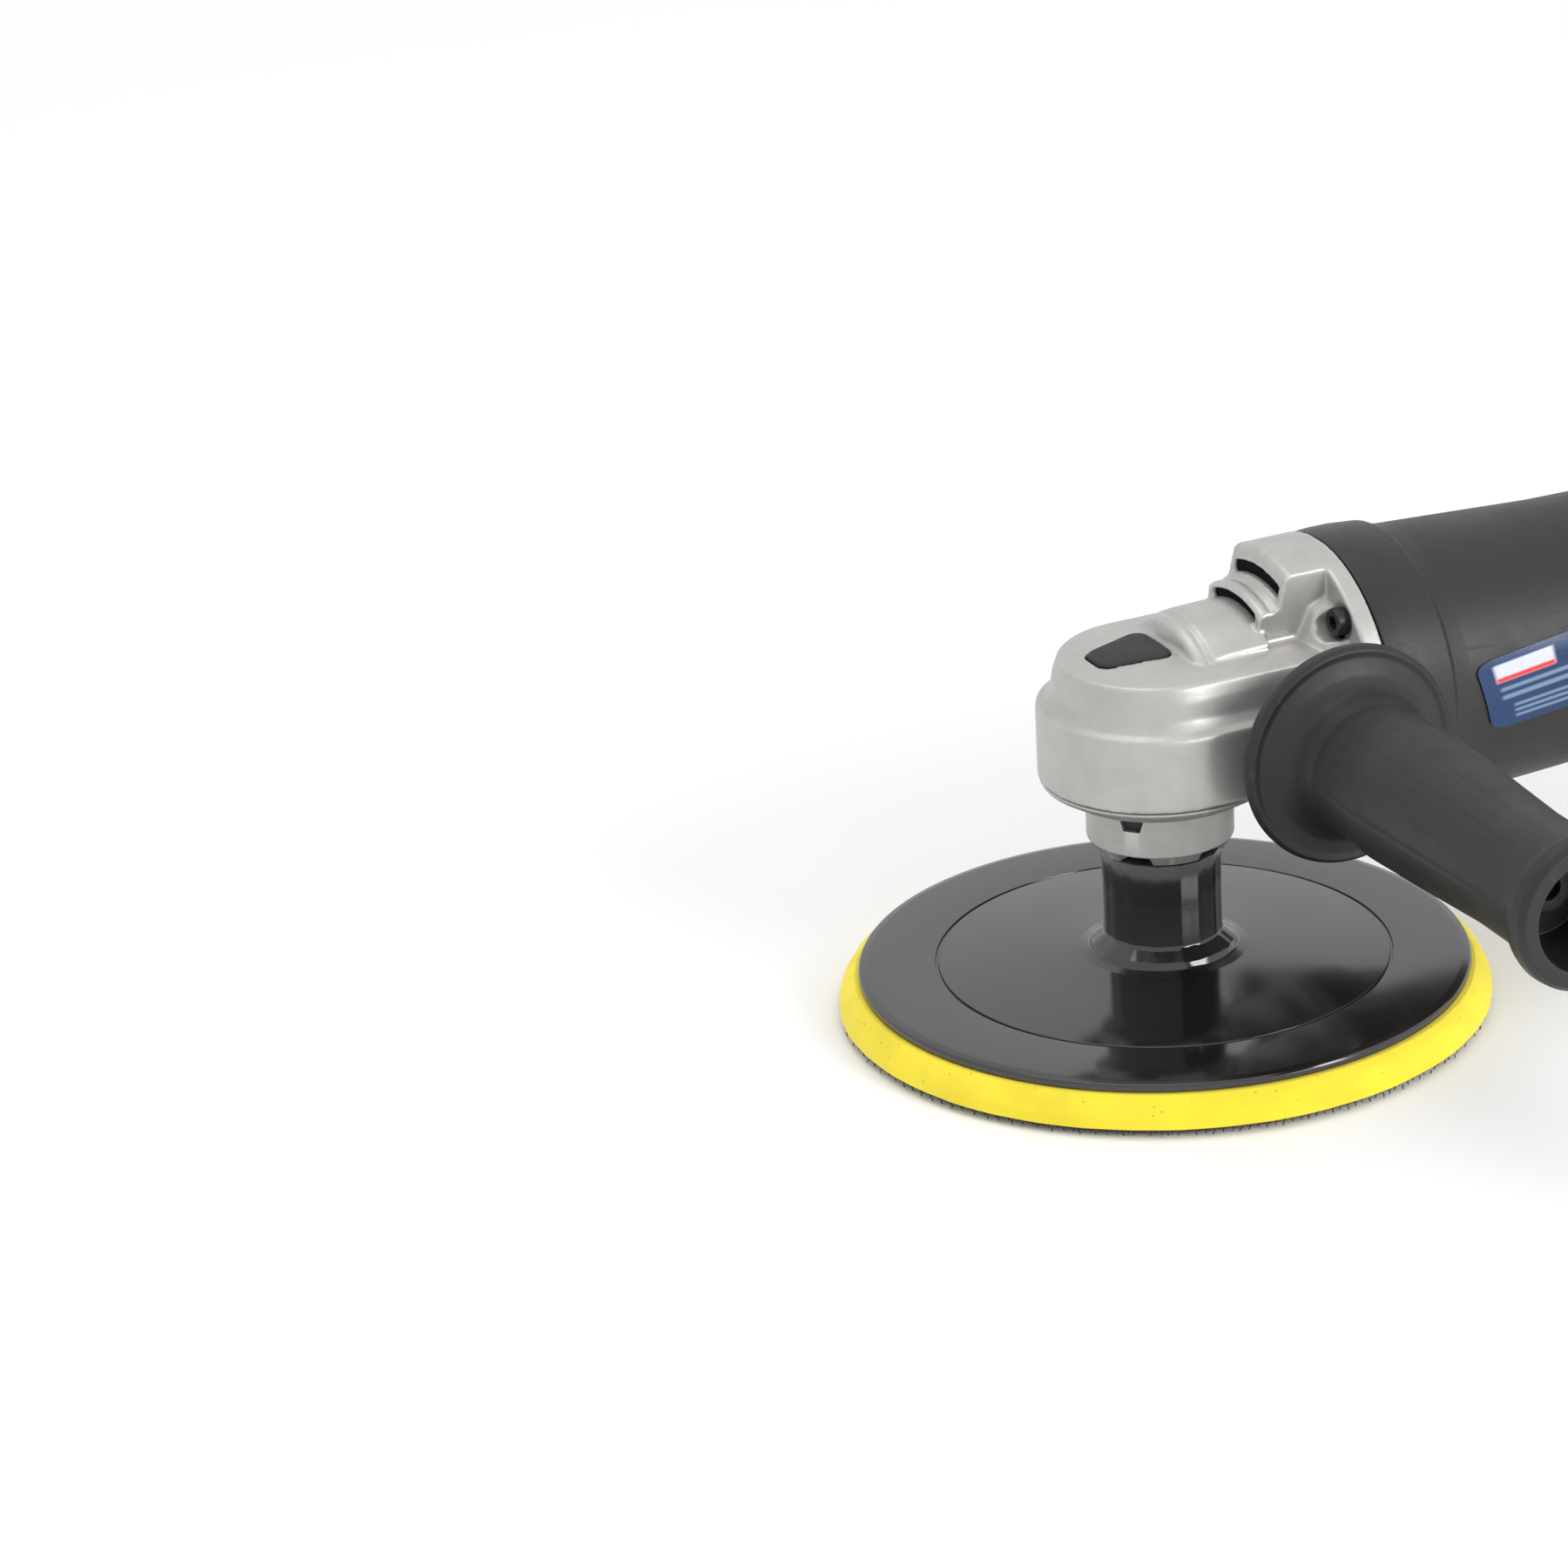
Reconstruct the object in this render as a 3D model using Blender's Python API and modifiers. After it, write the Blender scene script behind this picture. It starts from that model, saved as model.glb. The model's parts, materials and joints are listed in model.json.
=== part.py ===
"""Rotary polisher: a geared head with a foam backing pad, a motor body, a side handle and a rear handle.

Frame: the origin is the middle of the pad's working face, +Z points up the spindle and
+X points along the motor to the rear handle. The side handle points to -Y.
Every size below is in millimetres; the mesh helpers convert to metres.
"""
import math

import bmesh
import bpy
from mathutils import Matrix, Vector

MM = 0.001
GAP = 0.3                    # clearance kept between neighbouring pieces

# ---- driving dimensions --------------------------------------------------------------------
PAD_RADIUS = 88.5            # foam at the working face
HOOK_THICK = 1.8             # hook layer under the foam
FOAM_TOP = 10.2              # upper face of the foam
FOAM_TOP_RADIUS = 83.9
PLATE_RADIUS = 82.8          # rim of the backing plate
GROOVE_RADIUS = 61.5         # ring groove in the plate
HUB_RADIUS = 16.2
HUB_TOP = 46.0

NECK_RADIUS = 19.9           # bearing neck under the head
NECK_BOTTOM = 46.6
COVER_BOTTOM = 62.7
SEAM_Z = 67.3                # seam between bearing cover and gear housing
HEAD_RADIUS = 32.4
HEAD_TOP = 101.8
FLANGE_RADIUS = 41.3         # round flange that meets the motor housing
FLANGE_FRONT = 45.0
FLANGE_BACK = 50.0

MOTOR_Z = 82.0               # height of the motor axis
GEAR_MODULE = 1.25
CROWN_TEETH = 31
PINION_TEETH = 8
FACE_WIDTH = 5.4
LOCK_HOLES = 12              # holes in the crown gear for the lock pin
LOCK_RADIUS = 11.2

COLLAR_RADIUS = 41.3         # widest ring of the motor housing
BARREL = ((75.0, 38.4), (122.0, 36.0), (165.0, 35.6))    # (x, radius) along the tapering motor housing
BODY_REAR = 165.0
STATOR_FRONT = 74.0
STATOR_BACK = 116.0
BRUSH_X = 139.0

BOSS_X = 33.0                # side handle bosses
BOSS_Z = 80.5
BOSS_FACE = 41.4
GUARD_RADIUS = 30.4          # dished guard of the side handle
GRIP_END = 170.0
STUD_RADIUS = 3.9

HANDLE_REAR = 345.0
SHELL_THICK = 2.6
ARCH_HALF = 14.5             # half width of the stepped air vent on the gear housing
TRIGGER_PIVOT = (226.0, 60.0)
DIAL_X = 198.0
DIAL_RADIUS = 12.0

SCREW_SPREAD = ((-22.7, 26.2), (22.7, 26.2), (-22.7, -26.2), (22.7, -26.2))
FAN_CAVITY = 31.6


# ---- collections and materials ----------------------------------------------------------------
def fresh_collection(name):
    group = bpy.data.collections.new(name)
    bpy.context.scene.collection.children.link(group)
    return group


for old in list(bpy.data.objects):
    bpy.data.objects.remove(old, do_unlink=True)
PARTS = fresh_collection("rotary_polisher")
CUTTERS = fresh_collection("cutters")


def material(name, colour, roughness, metallic=0.0):
    mat = bpy.data.materials.new(name)
    mat.use_nodes = True
    shader = mat.node_tree.nodes["Principled BSDF"]
    shader.inputs["Base Color"].default_value = (*colour, 1.0)
    shader.inputs["Roughness"].default_value = roughness
    shader.inputs["Metallic"].default_value = metallic
    return mat


CAST = ("cast_aluminium", (0.62, 0.61, 0.59), 0.38, 1.0)
BLACK = ("black_nylon", (0.045, 0.045, 0.043), 0.55)
GRIPPY = ("side_grip_nylon", (0.05, 0.05, 0.048), 0.6)
GLOSS = ("plate_nylon", (0.02, 0.02, 0.02), 0.12)
FOAM = ("yellow_foam", (0.9, 0.78, 0.05), 0.85)
HOOK = ("hook_fabric", (0.03, 0.03, 0.03), 0.95)
STEEL = ("steel", (0.55, 0.55, 0.56), 0.3, 1.0)
DARK_STEEL = ("blackened_screw", (0.05, 0.05, 0.05), 0.4, 1.0)
LAMINATION = ("lamination_steel", (0.35, 0.36, 0.38), 0.45, 1.0)
COPPER = ("copper", (0.72, 0.36, 0.2), 0.35, 1.0)
BRASS = ("brass", (0.75, 0.6, 0.3), 0.35, 1.0)
CARBON = ("carbon", (0.06, 0.06, 0.06), 0.7)
BLUE = ("label_blue", (0.03, 0.12, 0.35), 0.3)
RUBBER = ("rubber", (0.02, 0.02, 0.02), 0.8)


# ---- mesh helpers --------------------------------------------------------------------------
def place(obj, look, at=(0, 0, 0)):
    """Put an object in its collection, at a place in millimetres, with its own material."""
    obj.location = Vector(at) * MM
    if look is None:
        CUTTERS.objects.link(obj)
        obj.hide_render = True
        obj.display_type = 'WIRE'
        return obj
    PARTS.objects.link(obj)
    name, colour, roughness, *metal = look
    obj.data.materials.append(material(obj.name + "_" + name, colour, roughness, *metal))
    return obj


def from_bmesh(name, bm, look, at=(0, 0, 0)):
    bm.transform(Matrix.Scale(MM, 4))
    mesh = bpy.data.meshes.new(name)
    bm.to_mesh(mesh)
    bm.free()
    return place(bpy.data.objects.new(name, mesh), look, at)


def turned(name, profile, look, at=(0, 0, 0), along='Z', steps=48, ring=False):
    """Turn a profile of (radius, height) points; ring=True closes it round a bore."""
    pairs = zip(profile, profile[1:] + profile[:1])
    area = sum(a[0] * b[1] - b[0] * a[1] for a, b in pairs)
    points = profile if area < 0 else profile[::-1]
    mesh = bpy.data.meshes.new(name)
    edges = [(i, i + 1) for i in range(len(points) - 1)]
    if ring:
        edges.append((len(points) - 1, 0))
    mesh.from_pydata([(r * MM, 0.0, h * MM) for r, h in points], edges, [])
    obj = place(bpy.data.objects.new(name, mesh), look, at)
    if along == 'X':
        obj.rotation_euler = (0.0, math.pi / 2, 0.0)
    if along == 'Y':
        obj.rotation_euler = (-math.pi / 2, 0.0, 0.0)
    screw = obj.modifiers.new("turn", 'SCREW')
    screw.steps = steps
    screw.render_steps = steps
    screw.use_merge_vertices = True
    screw.merge_threshold = 0.000002
    screw.use_smooth_shade = True
    return obj


def peg(bm, radius, start, end, sides=24, far_radius=None):
    """Add a closed cylinder or cone between two points."""
    start, end = Vector(start), Vector(end)
    aim = Vector((0, 0, 1)).rotation_difference(end - start).to_matrix().to_4x4()
    bmesh.ops.create_cone(bm, cap_ends=True, segments=sides, radius1=radius,
                          radius2=radius if far_radius is None else far_radius,
                          depth=(end - start).length,
                          matrix=Matrix.Translation((start + end) / 2) @ aim)


def block(bm, low, high):
    low, high = Vector(low), Vector(high)
    size = Matrix.Diagonal((*(high - low), 1.0))
    bmesh.ops.create_cube(bm, size=1.0, matrix=Matrix.Translation((low + high) / 2) @ size)


def prism(name, outline, low, high, look, normal='Y', at=(0, 0, 0)):
    """Extrude a closed outline between two planes. Outline axes: XZ for Y, YZ for X, XY for Z."""
    lift = {'Y': lambda u, v, w: (u, w, v), 'X': lambda u, v, w: (w, u, v),
            'Z': lambda u, v, w: (u, v, w)}[normal]
    bm = bmesh.new()
    face = bm.faces.new([bm.verts.new(lift(u, v, low)) for u, v in outline])
    side = bmesh.ops.extrude_face_region(bm, geom=[face])
    shift = Vector(lift(0, 0, high)) - Vector(lift(0, 0, low))
    bmesh.ops.translate(bm, vec=shift, verts=[v for v in side["geom"] if isinstance(v, bmesh.types.BMVert)])
    bmesh.ops.recalc_face_normals(bm, faces=bm.faces)
    return from_bmesh(name, bm, look, at)


def boxes(name, spans, look, at=(0, 0, 0)):
    bm = bmesh.new()
    for low, high in spans:
        block(bm, low, high)
    return from_bmesh(name, bm, look, at)


def pegs(name, items, look, sides=24, at=(0, 0, 0)):
    bm = bmesh.new()
    for radius, start, end in items:
        peg(bm, radius, start, end, sides)
    return from_bmesh(name, bm, look, at)


def boolean(target, operation, *tools):
    for tool in tools:
        mod = target.modifiers.new(tool.name, 'BOOLEAN')
        mod.operation = operation
        mod.solver = 'EXACT'
        mod.object = tool
    return target


def cut(target, *tools):
    return boolean(target, 'DIFFERENCE', *tools)


def join(target, *tools):
    return boolean(target, 'UNION', *tools)


def loft(name, rings, look, at=(0, 0, 0), closed_ends=(True, True)):
    """Skin equal-length rings of points; an end is capped by a fan round its middle."""
    bm = bmesh.new()
    rows = [[bm.verts.new(p) for p in ring] for ring in rings]
    count = len(rows[0])
    for low, high in zip(rows, rows[1:]):
        for i in range(count):
            j = (i + 1) % count
            bm.faces.new((low[i], low[j], high[j], high[i]))
    for row, wanted in ((rows[0], closed_ends[0]), (rows[-1], closed_ends[1])):
        if wanted:
            middle = sum((v.co for v in row), Vector()) / count
            tip = bm.verts.new(middle)
            for i in range(count):
                bm.faces.new((row[i], row[(i + 1) % count], tip))
    bmesh.ops.recalc_face_normals(bm, faces=bm.faces)
    return from_bmesh(name, bm, look, at)


def coil(name, radius, wire, bottom, top, turns, look, at=(0, 0, 0)):
    """A compression spring as a bevelled poly curve, converted to one closed mesh."""
    per_turn = 8
    count = int(turns * per_turn) + 1
    curve = bpy.data.curves.new(name + "_path", 'CURVE')
    curve.dimensions = '3D'
    curve.bevel_depth = wire * MM
    curve.bevel_resolution = 1
    curve.use_fill_caps = True
    spline = curve.splines.new('POLY')
    spline.points.add(count - 1)
    for i in range(count):
        turn = 2 * math.pi * i / per_turn
        height = bottom + (top - bottom) * i / (count - 1)
        spline.points[i].co = (radius * math.cos(turn) * MM, radius * math.sin(turn) * MM, height * MM, 1.0)
    path = bpy.data.objects.new(name + "_path", curve)
    CUTTERS.objects.link(path)
    bpy.context.view_layer.update()
    mesh = bpy.data.meshes.new_from_object(path.evaluated_get(bpy.context.evaluated_depsgraph_get()))
    bpy.data.objects.remove(path, do_unlink=True)
    bm = bmesh.new()
    bm.from_mesh(mesh)
    bmesh.ops.remove_doubles(bm, verts=bm.verts, dist=0.000001)
    bmesh.ops.recalc_face_normals(bm, faces=bm.faces)
    bm.to_mesh(mesh)
    bm.free()
    mesh.name = name
    mesh.materials.clear()
    return place(bpy.data.objects.new(name, mesh), look, at)


def arc(radius, start, end, count, centre=(0.0, 0.0)):
    """Points on an arc; the angles are in degrees."""
    angles = [math.radians(start + (end - start) * i / (count - 1)) for i in range(count)]
    return [(centre[0] + radius * math.cos(a), centre[1] + radius * math.sin(a)) for a in angles]


# ---- pad -----------------------------------------------------------------------------------
def build_pad():
    turned("hook_layer", [(0, HOOK_THICK), (PAD_RADIUS, HOOK_THICK), (PAD_RADIUS + 0.3, 0), (0, 0)],
           HOOK, steps=44)
    foam_side = [(FOAM_TOP_RADIUS, FOAM_TOP), (86.3, 8.0), (88.0, 5.0), (PAD_RADIUS, HOOK_THICK + GAP)]
    turned("pad_foam", [(0, FOAM_TOP)] + foam_side + [(0, HOOK_THICK + GAP)], FOAM, steps=44)
    plate_bottom = FOAM_TOP + GAP
    hole = 11.8
    plate = [(0, 17.4), (hole, 17.4), (hole, HUB_TOP), (HUB_RADIUS, HUB_TOP), (HUB_RADIUS, 20.4),
             (20.3, 17.7), (20.3, 16.6), (GROOVE_RADIUS - 0.9, 13.3), (GROOVE_RADIUS, 12.6),
             (GROOVE_RADIUS + 0.9, 13.2), (80.6, 12.7), (PLATE_RADIUS, 11.4), (PLATE_RADIUS, plate_bottom),
             (0, plate_bottom)]
    turned("backing_plate", plate, GLOSS, steps=44)
    turned("pad_insert_nut", [(7.3, 17.9), (11.4, 17.9), (11.4, HUB_TOP - 0.2), (7.3, HUB_TOP - 0.2)],
           STEEL, steps=20, ring=True)


# ---- spindle and its gear ------------------------------------------------------------------
def build_spindle():
    profile = [(0, 95.0), (4.8, 95.0), (4.8, 86.6), (5.9, 86.6), (5.9, 79.4), (7.5, 79.4),
               (7.5, 50.2), (9.4, 50.2), (9.4, 46.4), (6.9, 46.4), (6.9, 19.0), (0, 19.0)]
    turned("spindle", profile, STEEL, steps=20)
    turned("spindle_seal", [(7.9, 51.6), (15.9, 51.6), (15.9, 50.6), (7.9, 50.6)], RUBBER, steps=24,
           ring=True)
    turned("spindle_lower_bearing", [(7.8, 61.6), (15.9, 61.6), (15.9, 52.0), (7.8, 52.0)], STEEL,
           steps=20, ring=True)
    turned("spindle_upper_bearing", [(5.1, 95.4), (7.0, 95.4), (7.0, 88.9), (5.1, 88.9)], STEEL,
           steps=20, ring=True)


def tooth_heights(teeth, points, root, tip, phase):
    """Angle and height of every point round a gear's toothed edge, in units of the module."""
    shape = {4: ((-0.36, root), (-0.13, tip), (0.13, tip), (0.36, root)),
             6: ((-0.335, root), (-0.2, 0.0), (-0.085, tip), (0.085, tip), (0.2, 0.0), (0.335, root))}[points]
    pitch = 2 * math.pi / teeth
    return [((i + phase + offset) * pitch, height) for i in range(teeth) for offset, height in shape]


def gear_sizes():
    """Pitch radii of crown and pinion, and their shared cone distance."""
    crown = CROWN_TEETH * GEAR_MODULE / 2
    pinion = PINION_TEETH * GEAR_MODULE / 2
    return crown, pinion, math.hypot(crown, pinion)


def build_crown_gear():
    crown, pinion, cone = gear_sizes()
    lean, rise = pinion / cone, crown / cone
    inner = (cone - FACE_WIDTH) / cone
    teeth = tooth_heights(CROWN_TEETH, 4, -1.5, 0.95, 0.5)

    def strip(scale):
        ring = []
        for angle, height in teeth:
            radius = (crown + lean * height) * scale
            z = (-pinion + rise * height) * scale
            ring.append((radius * math.cos(angle), radius * math.sin(angle), MOTOR_Z + z))
        return ring

    def circle(radius, z):
        return [(radius * math.cos(a), radius * math.sin(a), z) for a, _ in teeth]

    bottom, web, seat = 66.4, 77.6, 71.4
    bore, waist = 7.9, 13.6
    core = waist - 1.7
    rows_at = [strip(inner), strip(1.0), circle(crown - 0.2, 72.8), circle(core, seat), circle(core, 76.0)]
    bm = bmesh.new()
    rows = [[bm.verts.new(p) for p in ring] for ring in rows_at]
    count = len(teeth)
    for low, high in zip(rows, rows[1:] + rows[:1]):
        for i in range(count):
            j = (i + 1) % count
            bm.faces.new((low[i], low[j], high[j], high[i]))
    bmesh.ops.recalc_face_normals(bm, faces=bm.faces)
    gear = turned("crown_gear", [(bore, bottom), (waist, bottom), (waist, web), (bore, web)], STEEL,
                  steps=24, ring=True)
    join(gear, from_bmesh("crown_teeth", bm, None))
    holes = []
    for i in range(LOCK_HOLES):
        angle = 2 * math.pi * i / LOCK_HOLES
        x, y = LOCK_RADIUS * math.cos(angle), LOCK_RADIUS * math.sin(angle)
        holes.append((1.75, (x, y, 72.0), (x, y, web + 1.0)))
    cut(gear, pegs("crown_lock_holes", holes, None, sides=6))


def build_pinion():
    crown, pinion, cone = gear_sizes()
    lean, rise = crown / cone, pinion / cone
    inner = (cone - FACE_WIDTH) / cone
    teeth = tooth_heights(PINION_TEETH, 6, -1.4, 0.95, 0.0)

    def strip(scale):
        ring = []
        for angle, height in teeth:
            radius = (pinion + lean * height) * scale
            x = (crown - rise * height) * scale
            ring.append((x, radius * math.sin(angle), -radius * math.cos(angle)))
        return ring

    def circle(radius, x):
        return [(x, radius * math.sin(a), -radius * math.cos(a)) for a, _ in teeth]

    hub, back, floor = 5.6, 27.0, 21.6
    rings = [strip(inner), strip(1.0), circle(hub, 20.6), circle(hub, back), circle(3.3, back),
             circle(3.3, floor)]
    loft("pinion_gear", rings, STEEL, at=(0, 0, MOTOR_Z))


# ---- gear housing and bearing cover ----------------------------------------------------------
def head_side():
    """The head's side from its top rim down to the seam, as (radius, height)."""
    return [(23.5, HEAD_TOP), (27.0, 100.4), (29.4, 97.0), (30.6, 88.8), (HEAD_RADIUS, 87.4),
            (HEAD_RADIUS, SEAM_Z + GAP)]


def button_outline(grow=0.0):
    """Lock button from above: a blunt teardrop, wide end towards the motor."""
    nose = arc(4.2 + grow, 120, 240, 5, (-18.4, 0.0))
    low = arc(3.0 + grow, 270, 350, 4, (-5.6, -5.6))
    high = arc(3.0 + grow, 10, 90, 4, (-5.6, 5.6))
    return nose + low + high


def sector(name, profile, half, ring=False):
    """The part of a form turned round the motor axis that lies above the head, no further out than half."""
    form = turned(name, profile, None, (0, 0, MOTOR_Z), 'X', 64, ring)
    trim = boxes(name + "_trim", [((-8.0, -half, 97.0), (60.0, half, 130.0))], None)
    return boolean(form, 'INTERSECT', trim)


def vent_steps():
    """Crowned steps of the air vent: a low ledge on the head and two risers up to the flange."""
    ledge = [(0, 0.6), (19.0, 0.6), (27.0, 2.6), (28.2, 8.0), (28.4, 24.0), (0, 24.0)]
    risers = [(0, 20.8), (28.0, 20.8), (31.4, 22.4), (33.2, 28.0), (40.6, 30.2), (41.2, 31.2),
              (41.2, FLANGE_FRONT + 1.0), (0, FLANGE_FRONT + 1.0)]
    return sector("vent_ledge", ledge, 18.0), sector("vent_risers", risers, ARCH_HALF)


def build_gear_housing():
    top = [(0, HEAD_TOP)] + head_side() + [(0, SEAM_Z + GAP)]
    housing = turned("gear_housing", top, CAST, steps=40)
    side = head_side()
    section = [(-r, z) for r, z in side] + [(r, z) for r, z in reversed(side)]
    run = prism("head_run", section, 0.0, FLANGE_FRONT, None, 'X')
    ledge, steps = vent_steps()
    lower = turned("lower_body", [(0, 33.5), (24.0, 33.5), (32.0, 39.0), (35.0, 47.0), (0, 47.0)], None,
                   (0, 0, MOTOR_Z), 'X')
    flange = turned("motor_flange", [(0, FLANGE_FRONT), (FLANGE_RADIUS - 0.8, FLANGE_FRONT),
                                     (FLANGE_RADIUS, FLANGE_FRONT + 0.8), (FLANGE_RADIUS, FLANGE_BACK),
                                     (0, FLANGE_BACK)], None, (0, 0, MOTOR_Z), 'X', 44)
    bosses = pegs("handle_bosses", [(12.8, (BOSS_X, -BOSS_FACE, BOSS_Z), (BOSS_X, BOSS_FACE, BOSS_Z))],
                  None, 24)
    join(housing, run, ledge, steps, lower, flange, bosses)

    cavity = turned("gear_cavity", [(0, 95.9), (7.3, 95.9), (7.3, 88.6), (20.8, 88.6), (20.8, 60.0),
                                    (0, 60.0)], None, steps=28)
    tunnel = turned("pinion_tunnel", [(0, 12.0), (8.5, 12.0), (8.5, 33.7), (16.05, 33.7), (16.05, 44.4),
                                      (FAN_CAVITY, 44.4), (FAN_CAVITY, 51.0), (0, 51.0)], None,
                    (0, 0, MOTOR_Z), 'X', 32)
    duct = sector("air_duct", [(18.6, 13.0), (26.3, 13.0), (26.3, 24.5), (30.0, 24.5), (30.0, 32.5),
                               (37.0, 32.5), (37.0, 50.6), (18.6, 50.6)], 10.0, True)
    slots = [sector("vent_slot_low", [(28.2, 18.5), (30.7, 18.5), (30.7, 27.0), (28.2, 27.0)], 11.8, True),
             sector("vent_slot_high", [(33.8, 26.0), (36.8, 26.0), (36.8, 35.0), (33.8, 35.0)], 12.2, True)]
    threads = pegs("handle_threads", [(4.2, (BOSS_X, side * 22.0, BOSS_Z), (BOSS_X, side * 45.0, BOSS_Z))
                                      for side in (-1, 1)], None, 14)
    pocket = prism("button_pocket", button_outline(0.5), 97.4, 112.0, None, 'Z')
    guide = pegs("pin_guide", [(1.85, (-LOCK_RADIUS, 0, 86.0), (-LOCK_RADIUS, 0, 98.0))], None, 10)
    seat = pegs("spring_seat", [(3.5, (-LOCK_RADIUS, 0, 93.4), (-LOCK_RADIUS, 0, 98.0))], None, 14)
    cover_holes = pegs("cover_threads", [(1.8, (x, y, 60.0), (x, y, 78.0)) for x, y in cover_screw_places()],
                       None, 8)
    case_holes = pegs("case_holes", [(2.2, (44.0, y, MOTOR_Z + z), (52.0, y, MOTOR_Z + z))
                                     for y, z in SCREW_SPREAD], None, 10)
    recess = pegs("screw_recess", [(4.3, (33.0, y, MOTOR_Z + z), (FLANGE_FRONT + 0.4, y, MOTOR_Z + z))
                                   for y, z in SCREW_SPREAD], None, 14)
    cut(housing, cavity, tunnel, duct, *slots, threads, pocket, guide, seat, cover_holes, case_holes, recess)


def cover_screw_places():
    reach = 23.3
    angles = [math.radians(a) for a in (45, 135, 225, 315)]
    return [(reach * math.cos(a), reach * math.sin(a)) for a in angles]


def build_bearing_cover():
    profile = [(9.0, 64.0), (17.0, 64.0), (17.0, SEAM_Z + 2.0), (20.4, SEAM_Z + 2.0), (20.4, SEAM_Z),
               (HEAD_RADIUS, SEAM_Z), (26.2, COVER_BOTTOM), (NECK_RADIUS, COVER_BOTTOM),
               (NECK_RADIUS, NECK_BOTTOM + 1.2), (NECK_RADIUS - 1.2, NECK_BOTTOM), (11.0, NECK_BOTTOM),
               (11.0, 50.3), (16.2, 50.3), (16.2, 61.9), (9.0, 61.9)]
    cover = turned("bearing_cover", profile, CAST, steps=32, ring=True)
    shanks = pegs("cover_shank_holes", [(2.0, (x, y, 60.0), (x, y, 72.0)) for x, y in cover_screw_places()],
                  None, 8)
    heads = pegs("cover_head_pockets", [(3.0, (x, y, 60.0), (x, y, COVER_BOTTOM + 2.2))
                                        for x, y in cover_screw_places()], None, 10)
    slot = boxes("neck_slot", [((-24.0, -3.0, 56.6), (-12.0, 3.0, 59.8))], None)
    slot.rotation_euler = (0, 0, math.radians(40))
    cut(cover, shanks, heads, slot)


def screw(name, look, at, along, shank, length, head, head_height):
    """A socket-head screw: the head's seat is at the origin and the shank runs along +axis."""
    socket = head * 0.45
    profile = [(0, -head_height * 0.4), (socket, -head_height * 0.4), (socket, -head_height),
               (head, -head_height), (head, 0), (shank, 0), (shank, length), (0, length)]
    return turned(name, profile, look, at, along, 10)


def build_case_screws():
    plain = [(0, -2.0), (2.7, -2.0), (2.7, 0), (1.5, 0), (1.5, 11.0), (0, 11.0)]
    for i, (x, y) in enumerate(cover_screw_places(), 1):
        turned(f"cover_screw_{i}", plain, DARK_STEEL, (x, y, COVER_BOTTOM + 2.1), steps=10)
    for i, (y, z) in enumerate(SCREW_SPREAD, 1):
        seat = (FLANGE_FRONT + 0.1, y, MOTOR_Z + z)
        screw(f"gear_case_screw_{i}", DARK_STEEL, seat, 'X', 2.0, 16.0, 3.6, 3.4)


def build_spindle_lock():
    prism("spindle_lock_button", button_outline(), 101.0, 104.6, RUBBER, 'Z')
    pin = [(0, 100.7), (2.6, 100.7), (2.6, 99.9), (1.5, 99.9), (1.5, 79.6), (1.0, 79.0), (0, 79.0)]
    turned("spindle_lock_pin", pin, STEEL, (-LOCK_RADIUS, 0, 0), steps=16)
    coil("spindle_lock_spring", 2.5, 0.32, 94.0, 99.3, 3, STEEL, (-LOCK_RADIUS, 0, 0))


# ---- motor ---------------------------------------------------------------------------------
def build_motor_housing():
    outer = [(COLLAR_RADIUS - 0.6, FLANGE_BACK + GAP), (COLLAR_RADIUS, 61.0), (COLLAR_RADIUS - 1.0, 69.5)]
    outer += [(radius, x) for x, radius in BARREL]
    inner = [(4.6, BODY_REAR), (4.6, 160.4), (11.0, 160.4), (11.0, 149.6), (14.0, 149.6), (14.0, 157.0),
             (33.6, 157.0), (33.6, 66.0), (FAN_CAVITY, 66.0), (FAN_CAVITY, FLANGE_BACK + GAP)]
    shell = turned("motor_housing", outer + inner, BLACK, (0, 0, MOTOR_Z), 'X', 40, ring=True)
    threads = pegs("case_threads", [(2.3, (48.0, y, MOTOR_Z + z), (62.5, y, MOTOR_Z + z))
                                    for y, z in SCREW_SPREAD], None, 10)
    doors = pegs("brush_doors", [(8.4, (BRUSH_X, side * 28.0, MOTOR_Z), (BRUSH_X, side * 45.0, MOTOR_Z))
                                 for side in (-1, 1)], None, 24)
    wires = boxes("wire_windows", [((155.0, side * 22.0 - 5.0, 72.0), (170.0, side * 22.0 + 5.0, 92.0))
                                   for side in (-1, 1)], None)
    cut(shell, threads, doors, wires)


def barrel_radius(x):
    """Radius of the tapering motor housing at x."""
    (x0, r0), (x1, r1) = BARREL[:2] if x < BARREL[1][0] else BARREL[1:]
    return r0 + (r1 - r0) * (x - x0) / (x1 - x0)


def build_labels():
    """A label plate hugging each side of the housing."""
    for side, name in ((-1, "label_left"), (1, "label_right")):
        bm = bmesh.new()
        columns, rows = 4, 6
        grid = []
        for i in range(columns + 1):
            u = i / columns
            for j in range(rows + 1):
                v = j / rows
                x = 77.0 + 5.0 * v + (56.0 - 8.0 * v) * u
                angle = math.radians((73.0 - 10.0 * u) * (1 - v) + (102.0 - 5.0 * u) * v)
                radius = barrel_radius(x) + 0.55
                grid.append(bm.verts.new((x, side * radius * math.sin(angle),
                                          MOTOR_Z + radius * math.cos(angle))))
        for i in range(columns):
            for j in range(rows):
                a = i * (rows + 1) + j
                quad = (grid[a], grid[a + 1], grid[a + rows + 2], grid[a + rows + 1])
                bm.faces.new(quad if side < 0 else quad[::-1])
        plate = from_bmesh(name, bm, BLUE)
        thick = plate.modifiers.new("thickness", 'SOLIDIFY')
        thick.thickness = 0.5 * MM
        thick.offset = 1.0


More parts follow.
